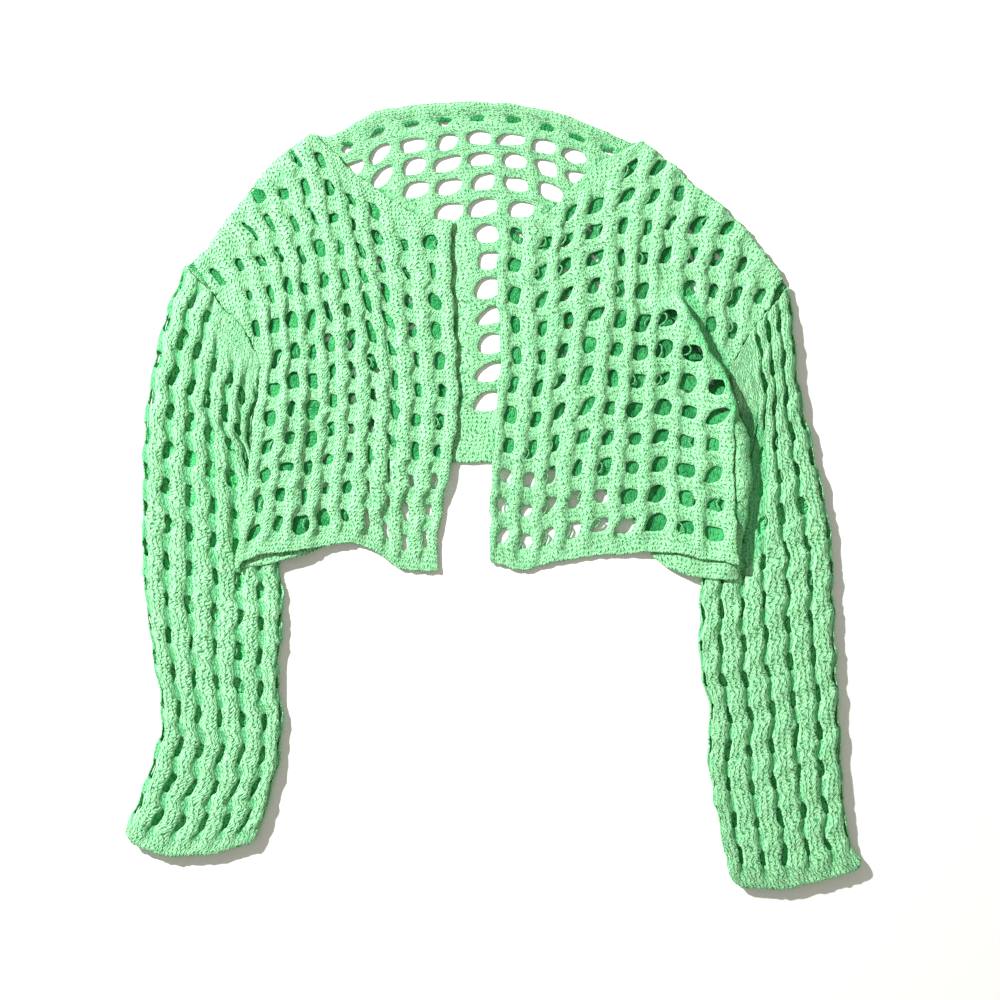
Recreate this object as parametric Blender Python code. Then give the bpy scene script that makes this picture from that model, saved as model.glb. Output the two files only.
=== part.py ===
"""Cropped open-front cardigan in an open mesh knit, laid flat with its front side up.

It is knitted in five shaped pieces: a back, two fronts and two drop-shoulder sleeves. The sleeves are flattened
tubes that lie on the surface. The back lies on the surface too and climbs over the inner strip of each sleeve.
The fronts lie on the back and, past its arched hem, on the surface. Right and left are the wearer's. The origin
is on the surface, under the middle of the outline, with +Y to the neck and +Z up.
"""

from dataclasses import dataclass
from typing import Callable

import bmesh
import bpy
import numpy as np

MM = 0.001

# Driving sizes, in millimetres
WALL = 2.0
RIB_RELIEF = 1.2
SEAM_GAP = 0.6
SEAM_GAP_FADE = 0.25
LAYER_GAP = 0.8
SLEEVE_HEIGHT = 8.8
SLEEVE_HEIGHT_UNDER_BODY = 6.2
SLEEVE_HEIGHT_AT_SEAM = 2 * WALL + LAYER_GAP + RIB_RELIEF
BODY_LIFT = SLEEVE_HEIGHT_UNDER_BODY + 0.7
LIFT_PLATEAU = 8.0
LIFT_RAMP = 40.0
LIFT_START_Y = 128.0
LIFT_END_Y = 72.0
DROP_START = 22.0
DROP_RAMP = 24.0
NECK_ROLL = 3.0
NECK_ROLL_WIDTH = 26.0
CREASE_HEIGHT = 3.2
CREASE_WIDTH = 26.0
CREASE_STEP = 7.0
PLAIN_EDGE = 0.05

# Ribs that run up each piece, and grid columns for each rib
FRONT_RIBS = 10
SLEEVE_RIBS = 7
COLUMNS_PER_RIB = 3

# Rows up a front from hem to underarm and from there to the shoulder
SIDE_ROWS = 12
ARMHOLE_ROWS = 8
BACK_EDGE_COLUMNS = 13
BACK_MIDDLE_COLUMNS = 12
BACK_EDGE_SHARE = 0.19
SLEEVE_SECTIONS = 17

# Outline of the right side, as x, y in millimetres from the middle of the garment
RIGHT_SHOULDER = ((-307, 230), (-285, 250), (-261, 283), (-243, 306), (-219, 333), (-189, 357), (-178, 362))
RIGHT_NECKLINE = ((-178, 362), (-161, 343), (-140, 322), (-119, 308), (-89, 286), (-68, 278), (-42, 274))
RIGHT_FRONT_EDGE = ((-55, -76), (-56, -52), (-51, -14), (-42, 30), (-35, 85), (-36, 134), (-41, 200), (-42, 274))
RIGHT_FRONT_HEM = ((-258, -75), (-235, -60), (-204, -57), (-167, -51), (-138, -49), (-115, -58), (-89, -75), (-54, -76))
RIGHT_SIDE = ((-258, -75), (-254, -50), (-246, 5), (-241, 55), (-236, 95), (-232, 130))
RIGHT_ARMHOLE = ((-232, 130), (-246, 160), (-274, 193), (-307, 230))

# Outline of the left side, in the same way
LEFT_SHOULDER = ((295, 209), (276, 235), (252, 266), (228, 290), (202, 309), (180, 329), (147, 354))
LEFT_NECKLINE = ((147, 354), (108, 333), (82, 310), (64, 292), (50, 280), (17, 277), (3, 273))
LEFT_FRONT_EDGE = ((-4, -67), (-3, -5), (0, 45), (4, 108), (7, 143), (3, 215), (6, 250), (3, 273))
LEFT_FRONT_HEM = ((244, -70), (178, -58), (139, -58), (72, -65), (30, -75), (-4, -67))
LEFT_SIDE = ((244, -70), (240, -5), (239, 35), (239, 75), (237, 100), (235, 127))
LEFT_ARMHOLE = ((235, 127), (265, 173), (295, 209))

# Back piece: its neck edge, arched hem and left side, which lies out past the front's
BACK_NECK = ((-178, 362), (-160, 362), (-142, 371), (-113, 386), (-44, 394), (28, 391), (87, 375), (130, 357), (147, 354))
BACK_HEM = ((-254, -72), (-164, -48), (-118, 17), (-38, 34), (66, 25), (126, -5), (162, -63), (196, -81), (243, -85))
BACK_LEFT_SIDE = ((243, -85), (247, -58), (252, -26), (257, 12), (254, 57), (242, 90), (235, 127))

# Sleeves: outer and inner edges from the armhole down, and the cuff from the outer to the inner edge
RIGHT_OUTER = ((-307, 230), (-325, 186), (-338, 135), (-348, 70), (-350, -5), (-349, -85), (-340, -154), (-331, -222),
               (-343, -273), (-368, -338))
RIGHT_INNER = ((-232, 130), (-237, 95), (-243, 48), (-226, 15), (-214, -65), (-210, -112), (-215, -180), (-211, -225),
               (-217, -275), (-234, -336))
RIGHT_CUFF = ((-368, -338), (-358, -349), (-326, -360), (-281, -358), (-245, -348), (-234, -336))
LEFT_OUTER = ((295, 209), (300, 155), (306, 100), (324, 24), (337, -45), (339, -105), (344, -205), (349, -300),
              (355, -343), (367, -364))
LEFT_INNER = ((235, 127), (243, 90), (252, 58), (238, 28), (215, -25), (207, -90), (206, -165), (216, -215), (214, -255),
              (221, -305), (235, -375))
LEFT_CUFF = ((367, -364), (355, -377), (311, -389), (280, -394), (246, -390), (235, -375))

# Softer lines beside the edges that turn a corner at the underarm, which the ribs near those edges follow
RIGHT_SIDE_FLOW = ((-258, -75), (-238, 15), (-229, 95), (-244, 158), (-273, 198), (-307, 230))
LEFT_SIDE_FLOW = ((244, -70), (238, 20), (232, 95), (248, 148), (271, 182), (295, 209))
BACK_LEFT_SIDE_FLOW = ((243, -85), (248, 10), (241, 95), (249, 148), (271, 182), (295, 209))
RIGHT_INNER_FLOW = ((-232, 130), (-227, 60), (-217, -30), (-211, -112), (-215, -180), (-211, -225), (-217, -275), (-234, -336))
LEFT_INNER_FLOW = ((235, 127), (230, 60), (215, -25), (207, -90), (206, -165), (216, -215), (214, -255), (221, -305), (235, -375))
BODY_GRIP = 6.0
SLEEVE_GRIP = 1.5

# Lines inside each sleeve's covered edge, from which the body's lift eases off toward the middle
RIGHT_LIFT_LINE = ((-206, -80), (-222, 60))
LEFT_LIFT_LINE = ((200, -85), (228, 60))

# Where the left front folds over itself beside the armhole, from the top down
LEFT_CREASE = ((184, 202), (194, 177), (210, 145), (230, 113), (240, 62))


def smooth(value: np.ndarray) -> np.ndarray:
    """Cosine step from 0 to 1 as the value goes from 0 to 1."""
    return 0.5 - 0.5 * np.cos(np.pi * np.clip(value, 0.0, 1.0))


def curve_through(points: tuple) -> Callable[[float], np.ndarray]:
    """Smooth curve through the points, as a function of the share 0 to 1 of its length."""
    knots = np.array(points, dtype=float)
    padded = np.vstack([2 * knots[0] - knots[1], knots, 2 * knots[-1] - knots[-2]])
    steps = np.linspace(0.0, 1.0, 16, endpoint=False)[:, None]
    pieces = []
    for before, start, end, after in zip(padded, padded[1:], padded[2:], padded[3:]):
        cubic = 3 * start - before - 3 * end + after
        square = 2 * before - 5 * start + 4 * end - after
        pieces.append(start + 0.5 * steps * (end - before + steps * (square + steps * cubic)))
    fine = np.vstack(pieces + [knots[-1:]])
    lengths = np.concatenate([[0.0], np.cumsum(np.linalg.norm(np.diff(fine, axis=0), axis=1))])
    shares = lengths / lengths[-1]
    return lambda share: np.array([np.interp(share, shares, fine[:, axis]) for axis in (0, 1)])


def joined(first: tuple, second: tuple, split: float) -> Callable[[float], np.ndarray]:
    """Two curves end to end, with the corner between them at the share given by split."""
    start = curve_through(first)
    rest = curve_through(second)
    return lambda share: start(share / split) if share <= split else rest((share - split) / (1 - split))


@dataclass(frozen=True)
class Patch:
    """A piece's outline in plan: four edge curves with a smooth net between them.

    The net follows a softer flow line beside each of the start and end edges, and reaches the edge itself
    only close to it. The higher the grip, the closer.
    """

    low: Callable[[float], np.ndarray]
    high: Callable[[float], np.ndarray]
    start: Callable[[float], np.ndarray]
    end: Callable[[float], np.ndarray]
    start_flow: Callable[[float], np.ndarray]
    end_flow: Callable[[float], np.ndarray]
    grip: float

    def at(self, u: float, v: float) -> np.ndarray:
        """Plan position at u along the low and high edges, and v from the low edge to the high one."""
        across = (1 - v) * self.low(u) + v * self.high(u)
        along = (1 - u) * self.start_flow(v) + u * self.end_flow(v)
        corners = (1 - v) * ((1 - u) * self.low(0) + u * self.low(1)) + v * ((1 - u) * self.high(0) + u * self.high(1))
        to_start = (1 - u) ** self.grip * (self.start(v) - self.start_flow(v))
        to_end = u**self.grip * (self.end(v) - self.end_flow(v))
        return across + along - corners + to_start + to_end


UNDERARM = SIDE_ROWS / (SIDE_ROWS + ARMHOLE_ROWS)
NECK_POINT = 0.45
BACK_RIGHT_NECK_POINT = 0.27
BACK_LEFT_NECK_POINT = 0.73


def body_patches() -> dict[str, Patch]:
    """Plan outlines of the back and the fronts. On a front, u runs from the front edge to the side."""
    right_side = joined(RIGHT_SIDE, RIGHT_ARMHOLE, UNDERARM)
    left_side = joined(LEFT_SIDE, LEFT_ARMHOLE, UNDERARM)
    back_left_side = joined(BACK_LEFT_SIDE, LEFT_ARMHOLE, UNDERARM)
    to_left_neck = BACK_LEFT_NECK_POINT - BACK_RIGHT_NECK_POINT
    neck_and_left = joined(BACK_NECK, LEFT_SHOULDER[::-1], to_left_neck / (1 - BACK_RIGHT_NECK_POINT))
    right_shoulder = curve_through(RIGHT_SHOULDER)
    right_flow = curve_through(RIGHT_SIDE_FLOW)
    right_front_edge = curve_through(RIGHT_FRONT_EDGE)
    left_front_edge = curve_through(LEFT_FRONT_EDGE)

    def back_top(share: float) -> np.ndarray:
        if share <= BACK_RIGHT_NECK_POINT:
            return right_shoulder(share / BACK_RIGHT_NECK_POINT)
        return neck_and_left((share - BACK_RIGHT_NECK_POINT) / (1 - BACK_RIGHT_NECK_POINT))

    return {
        "back": Patch(
            low=curve_through(BACK_HEM),
            high=back_top,
            start=right_side,
            end=back_left_side,
            start_flow=right_flow,
            end_flow=curve_through(BACK_LEFT_SIDE_FLOW),
            grip=BODY_GRIP,
        ),
        "right_front": Patch(
            low=curve_through(RIGHT_FRONT_HEM[::-1]),
            high=joined(RIGHT_NECKLINE[::-1], RIGHT_SHOULDER[::-1], NECK_POINT),
            start=right_front_edge,
            end=right_side,
            start_flow=right_front_edge,
            end_flow=right_flow,
            grip=BODY_GRIP,
        ),
        "left_front": Patch(
            low=curve_through(LEFT_FRONT_HEM[::-1]),
            high=joined(LEFT_NECKLINE[::-1], LEFT_SHOULDER[::-1], NECK_POINT),
            start=left_front_edge,
            end=left_side,
            start_flow=left_front_edge,
            end_flow=curve_through(LEFT_SIDE_FLOW),
            grip=BODY_GRIP,
        ),
    }


def sleeve_patches() -> dict[str, Patch]:
    """Plan outlines of the sleeves: u runs from the outer to the inner edge, and v from the armhole to the cuff."""
    return {
        "right_sleeve": Patch(
            low=curve_through(RIGHT_ARMHOLE[::-1]),
            high=curve_through(RIGHT_CUFF),
            start=curve_through(RIGHT_OUTER),
            end=curve_through(RIGHT_INNER),
            start_flow=curve_through(RIGHT_OUTER),
            end_flow=curve_through(RIGHT_INNER_FLOW),
            grip=SLEEVE_GRIP,
        ),
        "left_sleeve": Patch(
            low=curve_through(LEFT_ARMHOLE[::-1]),
            high=curve_through(LEFT_CUFF),
            start=curve_through(LEFT_OUTER),
            end=curve_through(LEFT_INNER),
            start_flow=curve_through(LEFT_OUTER),
            end_flow=curve_through(LEFT_INNER_FLOW),
            grip=SLEEVE_GRIP,
        ),
    }


def edge_x(edge: tuple, y: float) -> float:
    """The x at which an edge that runs down the garment passes the height y."""
    table = np.array(sorted(edge, key=lambda point: point[1]), dtype=float)
    return float(np.interp(y, table[:, 1], table[:, 0]))


def body_lift(x: float, y: float) -> float:
    """How far the back's underside stands off the surface, to pass over a sleeve."""
    past_sleeve = abs(edge_x(RIGHT_LIFT_LINE if x < 0 else LEFT_LIFT_LINE, y)) - abs(x)
    across = 1 - smooth((past_sleeve - LIFT_PLATEAU) / LIFT_RAMP)
    down = smooth((LIFT_START_Y - y) / (LIFT_START_Y - LIFT_END_Y))
    return float(BODY_LIFT * across * down)


def front_base(x: float, y: float) -> float:
    """Height of a front's underside: on the back, and past the back's hem on the surface."""
    hem = np.array(BACK_HEM, dtype=float)
    below = float(np.interp(x, hem[:, 0], hem[:, 1])) - y
    on_back = 1 - smooth((below - DROP_START) / DROP_RAMP)
    return body_lift(x, y) + float((WALL + LAYER_GAP) * on_back)


def crease(x: float, y: float) -> float:
    """Raised fold beside the left armhole: a soft rise from the front edge's side and a steep step down."""
    line = np.array(LEFT_CREASE[::-1], dtype=float)
    past = x - float(np.interp(y, line[:, 1], line[:, 0]))
    rise = smooth((past + CREASE_WIDTH) / CREASE_WIDTH) if past < 0 else 1 - smooth(past / CREASE_STEP)
    inside = smooth((y - line[0, 1]) / 20) * smooth((line[-1, 1] - y) / 20)
    return float(CREASE_HEIGHT * rise * inside)


def rib_height(across: float, ribs: int) -> float:
    """Relief of the ribs at a share across the piece, over a plain underside."""
    return float(RIB_RELIEF * (0.5 - 0.5 * np.cos(2 * np.pi * across * ribs)))


def knit_material() -> bpy.types.Material:
    """Mint green cotton yarn."""
    material = bpy.data.materials.new("mint_knit")
    material.use_nodes = True
    shader = material.node_tree.nodes["Principled BSDF"]
    shader.inputs["Base Color"].default_value = (0.33, 0.74, 0.39, 1.0)
    shader.inputs["Roughness"].default_value = 0.9
    shader.inputs["Metallic"].default_value = 0.0
    return material


def add_object(name: str, bm: bmesh.types.BMesh, material: bpy.types.Material) -> None:
    """Turn a closed mesh in millimetres into an object in metres."""
    bmesh.ops.scale(bm, vec=(MM, MM, MM), verts=bm.verts)
    bmesh.ops.recalc_face_normals(bm, faces=bm.faces)
    mesh = bpy.data.meshes.new(name)
    bm.to_mesh(mesh)
    bm.free()
    mesh.materials.append(material)
    bpy.context.scene.collection.objects.link(bpy.data.objects.new(name, mesh))


def build_wall(
    name: str,
    patch: Patch,
    shares: tuple[np.ndarray, np.ndarray],
    base: Callable[[float, float], float],
    relief: Callable[[float, float, float, float], float],
    material: bpy.types.Material,
) -> None:
    """A single wall of cloth: a grid mapped onto the patch, with its outer side extruded up by wall and relief."""
    u_shares, v_shares = shares
    columns = len(u_shares) - 1
    rows = len(v_shares) - 1
    bm = bmesh.new()
    bmesh.ops.create_grid(bm, x_segments=columns, y_segments=rows, size=0.5)
    extruded = bmesh.ops.extrude_face_region(bm, geom=bm.faces[:])["geom"]
    outer = {item for item in extruded if isinstance(item, bmesh.types.BMVert)}
    for vertex in bm.verts:
        u = u_shares[round((vertex.co.x + 0.5) * columns)]
        v = v_shares[round((vertex.co.y + 0.5) * rows)]
        x, y = patch.at(u, v)
        z = base(x, y)
        if vertex in outer:
            z += WALL + relief(u, v, x, y)
        vertex.co = (x, y, z)
    add_object(name, bm, material)


def build_fronts(patches: dict[str, Patch], material: bpy.types.Material) -> None:
    """Two fronts, whose ribs are closest together at the front edge."""
    crowding = 1.12
    u_shares = np.linspace(0.0, 1.0, FRONT_RIBS * COLUMNS_PER_RIB + 1) ** crowding
    v_shares = np.linspace(0.0, 1.0, SIDE_ROWS + ARMHOLE_ROWS + 1)

    def ribs(u: float, v: float) -> float:
        plain = float(smooth(v / PLAIN_EDGE) * smooth((1 - v) / PLAIN_EDGE))
        return rib_height(u ** (1 / crowding), FRONT_RIBS) * plain

    build_wall(
        "right_front", patches["right_front"], (u_shares, v_shares), front_base, lambda u, v, x, y: ribs(u, v), material
    )
    build_wall(
        "left_front",
        patches["left_front"],
        (u_shares, v_shares),
        front_base,
        lambda u, v, x, y: ribs(u, v) + crease(x, y),
        material,
    )


def build_back(patch: Patch, material: bpy.types.Material) -> None:
    """The back, plain where the fronts cover it, with a rolled edge round the neck."""
    right = np.linspace(0.0, BACK_EDGE_SHARE, BACK_EDGE_COLUMNS, endpoint=False)
    middle = np.linspace(BACK_EDGE_SHARE, 1 - BACK_EDGE_SHARE, BACK_MIDDLE_COLUMNS, endpoint=False)
    left = np.linspace(1 - BACK_EDGE_SHARE, 1.0, BACK_EDGE_COLUMNS + 1)
    u_shares = np.concatenate([right, middle, left])
    v_shares = np.linspace(0.0, 1.0, SIDE_ROWS + ARMHOLE_ROWS + 1)
    piece_length = 330.0

    def neck_roll(u: float, v: float, x: float, y: float) -> float:
        in_neck = smooth((u - BACK_RIGHT_NECK_POINT) / 0.1) * smooth((BACK_LEFT_NECK_POINT - u) / 0.1)
        return float(NECK_ROLL * in_neck * smooth(1 - (1 - v) * piece_length / NECK_ROLL_WIDTH))

    build_wall("back", patch, (u_shares, v_shares), body_lift, neck_roll, material)


@dataclass(frozen=True)
class TubePoint:
    """A point round a flattened tube: share across, share of the height, inset from the edge, and whether on top."""

    across: float
    up: float
    inset: float
    on_top: bool


def tube_profile() -> list[TubePoint]:
    """Points once round the tube: across the top, round the inner edge, back under and round the outer edge."""
    round_steps = 4
    under_steps = 8
    top_steps = SLEEVE_RIBS * COLUMNS_PER_RIB
    turns = [np.pi * step / round_steps for step in range(1, round_steps)]
    points = [TubePoint(step / top_steps, 1.0, 1.0, True) for step in range(top_steps + 1)]
    points += [TubePoint(1.0, 0.5 + 0.5 * np.cos(turn), 1 - np.sin(turn), False) for turn in turns]
    points += [TubePoint(1 - step / under_steps, 0.0, 1.0, False) for step in range(under_steps + 1)]
    points += [TubePoint(0.0, 0.5 - 0.5 * np.cos(turn), 1 - np.sin(turn), False) for turn in turns]
    return points


def sleeve_height(x: float, y: float, down: float) -> float:
    """Height of the sleeve without its ribs: low at the seam and where the body lies on it."""
    side = edge_x(RIGHT_SIDE, y) if x < 0 else edge_x(BACK_LEFT_SIDE, y)
    free = SLEEVE_HEIGHT - RIB_RELIEF
    under_body = smooth((18 - (abs(x) - abs(side))) / 10) * smooth((LIFT_START_Y + 20 - y) / 20) * (y > -110)
    height = free - (SLEEVE_HEIGHT - SLEEVE_HEIGHT_UNDER_BODY) * under_body
    at_seam = SLEEVE_HEIGHT_AT_SEAM - RIB_RELIEF
    return float(at_seam + (height - at_seam) * smooth(down / 0.09))


def build_sleeve(name: str, patch: Patch, material: bpy.types.Material) -> None:
    """A flattened tube, open at the armhole and the cuff, with ribs raised on its upper side only."""
    profile = tube_profile()
    away_from_body = np.array([0.8 * np.sign(patch.at(0.0, 0.0)[0]), -0.6])
    bm = bmesh.new()
    rings = {"outer": [], "inner": []}
    for down in np.linspace(0.0, 1.0, SLEEVE_SECTIONS + 1):
        clear = SEAM_GAP * (1 - smooth(down / SEAM_GAP_FADE)) * away_from_body
        width = float(np.linalg.norm(patch.at(1.0, down) - patch.at(0.0, down)))
        outer_ring = []
        inner_ring = []
        for point in profile:
            rounded = sleeve_height(*patch.at(point.across, down), down) / 2
            inset = point.inset * rounded / width
            u = inset + point.across * (1 - 2 * inset)
            x, y = patch.at(u, down) + clear
            height = sleeve_height(x, y, down)
            plain = float(smooth(down / PLAIN_EDGE) * smooth((1 - down) / PLAIN_EDGE))
            relief = rib_height(point.across, SLEEVE_RIBS) * plain if point.on_top else 0.0
            outer_ring.append(bm.verts.new((x, y, point.up * height + relief)))
            hollow_share = WALL / width
            x, y = patch.at(hollow_share + u * (1 - 2 * hollow_share), down) + clear
            inner_ring.append(bm.verts.new((x, y, WALL + point.up * (height - 2 * WALL))))
        rings["outer"].append(outer_ring)
        rings["inner"].append(inner_ring)

    def join(ring: list, other: list) -> None:
        for index, start in enumerate(ring):
            following = (index + 1) % len(ring)
            bm.faces.new((start, ring[following], other[following], other[index]))

    for skin in rings.values():
        for ring, other in zip(skin, skin[1:]):
            join(ring, other)
    join(rings["outer"][0], rings["inner"][0])
    join(rings["outer"][-1], rings["inner"][-1])
    add_object(name, bm, material)


def main() -> None:
    """Clear the scene and build the five pieces."""
    for old in list(bpy.data.objects):
        bpy.data.objects.remove(old, do_unlink=True)
    material = knit_material()
    patches = body_patches()
    build_back(patches["back"], material)
    build_fronts(patches, material)
    for name, patch in sleeve_patches().items():
        build_sleeve(name, patch, material)


if __name__ == "__main__":
    main()
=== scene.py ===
"""Dresses the cropped mesh-knit cardigan that lies flat with its front side up.

Each knitted piece is an open net of rope-like ribs and sunken bars, laid over the form of its solid. A grid
is mapped onto the piece's outline, its holes are opened, and the sheet gets a wall and soft edges. The
stitches come from a node group that follows each piece's wales and courses. Lengths are in millimetres, in
cells of the net or in shares of a piece, and the studio and the yarn give their own units. Right and left
are the wearer's.
"""

from __future__ import annotations

import logging
import math
from collections.abc import Callable
from dataclasses import dataclass
from enum import Enum

import bmesh
import bpy
import numpy as np
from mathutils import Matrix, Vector

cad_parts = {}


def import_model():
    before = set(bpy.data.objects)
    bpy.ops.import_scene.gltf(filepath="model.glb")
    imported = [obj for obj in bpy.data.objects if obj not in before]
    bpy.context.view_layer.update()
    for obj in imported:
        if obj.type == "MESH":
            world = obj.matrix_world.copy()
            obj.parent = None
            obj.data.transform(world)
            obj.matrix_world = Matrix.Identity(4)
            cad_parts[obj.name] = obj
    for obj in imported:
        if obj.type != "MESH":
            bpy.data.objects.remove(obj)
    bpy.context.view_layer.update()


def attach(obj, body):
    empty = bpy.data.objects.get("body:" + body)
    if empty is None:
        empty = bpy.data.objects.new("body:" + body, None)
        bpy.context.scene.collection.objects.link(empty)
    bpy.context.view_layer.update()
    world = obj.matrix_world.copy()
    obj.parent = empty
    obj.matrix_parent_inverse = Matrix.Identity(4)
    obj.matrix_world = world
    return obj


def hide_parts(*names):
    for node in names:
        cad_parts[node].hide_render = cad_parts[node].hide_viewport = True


LOG = logging.getLogger("cardigan")
MM = 0.001
CURVE_STEPS = 16

Curve = Callable[[np.ndarray], np.ndarray]
Points = tuple[tuple[float, float], ...]


class Side(Enum):
    """The wearer's side that a piece belongs to."""

    RIGHT = "right"
    LEFT = "left"


Sides = dict[Side, Points]


class Outline:
    """Outlines in plan, as x, y in millimetres from the middle of the garment."""

    SHOULDER: Sides = {
        Side.RIGHT: (
            (-307, 230), (-285, 250), (-261, 283), (-243, 306), (-219, 333), (-189, 357), (-178, 362)),
        Side.LEFT: ((295, 209), (276, 235), (252, 266), (228, 290), (202, 309), (180, 329), (147, 354)),
    }
    NECKLINE: Sides = {
        Side.RIGHT: ((-178, 362), (-161, 343), (-140, 322), (-119, 308), (-89, 286), (-68, 278), (-42, 274)),
        Side.LEFT: ((147, 354), (108, 333), (82, 310), (64, 292), (50, 280), (17, 277), (3, 273)),
    }
    FRONT_EDGE: Sides = {
        Side.RIGHT: (
            (-55, -76), (-56, -52), (-51, -14), (-42, 30), (-35, 85), (-36, 134), (-41, 200), (-42, 274)),
        Side.LEFT: ((-4, -67), (-3, -5), (0, 45), (4, 108), (7, 143), (3, 215), (6, 250), (3, 273)),
    }
    FRONT_HEM: Sides = {
        Side.RIGHT: (
            (-258, -75), (-235, -60), (-204, -57), (-167, -51), (-138, -49), (-115, -58), (-89, -75),
            (-54, -76)),
        Side.LEFT: ((244, -70), (178, -58), (139, -58), (72, -65), (30, -75), (-4, -67)),
    }
    SIDE: Sides = {
        Side.RIGHT: ((-258, -75), (-254, -50), (-246, 5), (-241, 55), (-236, 95), (-232, 130)),
        Side.LEFT: ((244, -70), (240, -5), (239, 35), (239, 75), (237, 100), (235, 127)),
    }
    ARMHOLE: Sides = {
        Side.RIGHT: ((-232, 130), (-246, 160), (-274, 193), (-307, 230)),
        Side.LEFT: ((235, 127), (265, 173), (295, 209)),
    }
    OUTER: Sides = {
        Side.RIGHT: (
            (-307, 230), (-325, 186), (-338, 135), (-348, 70), (-350, -5), (-349, -85), (-340, -154),
            (-331, -222), (-343, -273), (-368, -338)),
        Side.LEFT: (
            (295, 209), (300, 155), (306, 100), (324, 24), (337, -45), (339, -105), (344, -205),
            (349, -300), (355, -343), (367, -364)),
    }
    INNER: Sides = {
        Side.RIGHT: (
            (-232, 130), (-237, 95), (-243, 48), (-226, 15), (-214, -65), (-210, -112), (-215, -180),
            (-211, -225), (-217, -275), (-234, -336)),
        Side.LEFT: (
            (235, 127), (243, 90), (252, 58), (238, 28), (215, -25), (207, -90), (206, -165), (216, -215),
            (214, -255), (221, -305), (235, -375)),
    }
    CUFF: Sides = {
        Side.RIGHT: ((-368, -338), (-358, -349), (-326, -360), (-281, -358), (-245, -348), (-234, -336)),
        Side.LEFT: ((367, -364), (355, -377), (311, -389), (280, -394), (246, -390), (235, -375)),
    }
    SIDE_FLOW: Sides = {
        Side.RIGHT: ((-258, -75), (-238, 15), (-229, 95), (-244, 158), (-273, 198), (-307, 230)),
        Side.LEFT: ((244, -70), (238, 20), (232, 95), (248, 148), (271, 182), (295, 209)),
    }
    INNER_FLOW: Sides = {
        Side.RIGHT: (
            (-232, 130), (-227, 60), (-217, -30), (-211, -112), (-215, -180), (-211, -225), (-217, -275),
            (-234, -336)),
        Side.LEFT: (
            (235, 127), (230, 60), (215, -25), (207, -90), (206, -165), (216, -215), (214, -255),
            (221, -305), (235, -375)),
    }
    LIFT_LINE: Sides = {
        Side.RIGHT: ((-206, -80), (-222, 60)),
        Side.LEFT: ((200, -85), (228, 60)),
    }
    CREASE: Points = ((240, 62), (230, 113), (210, 145), (194, 177), (184, 202))
    BACK_NECK: Points = (
        (-178, 362), (-160, 362), (-142, 371), (-113, 386), (-44, 394), (28, 391), (87, 375), (130, 357),
        (147, 354))
    BACK_HEM: Points = (
        (-254, -72), (-164, -48), (-118, 17), (-38, 34), (66, 25), (126, -5), (162, -63), (196, -81),
        (243, -85))
    BACK_LEFT_SIDE: Points = (
        (243, -85), (247, -58), (252, -26), (257, 12), (254, 57), (242, 90), (235, 127))
    BACK_LEFT_SIDE_FLOW: Points = ((243, -85), (248, 10), (241, 95), (249, 148), (271, 182), (295, 209))
    UNDERARM_SHARE = 0.6
    BACK_RIGHT_NECK_SHARE = 0.27
    BACK_LEFT_NECK_SHARE = 0.73


def smooth(value: np.ndarray) -> np.ndarray:
    """Cosine step from 0 to 1.

    Args:
        value: where on the step, 0 at its foot and 1 at its top.

    Returns:
        The height of the step.
    """
    return 0.5 - 0.5 * np.cos(np.pi * np.clip(value, 0.0, 1.0))


def curve_through(points: Points) -> Curve:
    """Smooth curve through the points.

    Args:
        points: x, y in millimetres.

    Returns:
        A function from shares 0 to 1 of the curve's length to places on it.
    """
    knots = np.array(points, dtype=float)
    padded = np.vstack([2 * knots[0] - knots[1], knots, 2 * knots[-1] - knots[-2]])
    steps = np.linspace(0.0, 1.0, CURVE_STEPS, endpoint=False)[:, None]
    pieces = []
    for before, start, end, after in zip(padded, padded[1:], padded[2:], padded[3:]):
        cubic = 3 * start - before - 3 * end + after
        square = 2 * before - 5 * start + 4 * end - after
        pieces.append(start + 0.5 * steps * (end - before + steps * (square + steps * cubic)))
    fine = np.vstack(pieces + [knots[-1:]])
    lengths = np.concatenate([[0.0], np.cumsum(np.linalg.norm(np.diff(fine, axis=0), axis=1))])
    shares = lengths / lengths[-1]
    return lambda share: np.stack([np.interp(share, shares, fine[:, axis]) for axis in (0, 1)], axis=-1)


def joined(first: Curve, second: Curve, split: float) -> Curve:
    """Two curves end to end.

    Args:
        first: the curve that is passed first.
        second: the curve that follows it.
        split: the share at which the corner between them lies.

    Returns:
        The joined curve.
    """

    def at(share: np.ndarray) -> np.ndarray:
        share = np.asarray(share, dtype=float)
        on_first = first(np.clip(share / split, 0, 1))
        on_second = second(np.clip((share - split) / (1 - split), 0, 1))
        return np.where((share <= split)[..., None], on_first, on_second)

    return at


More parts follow.
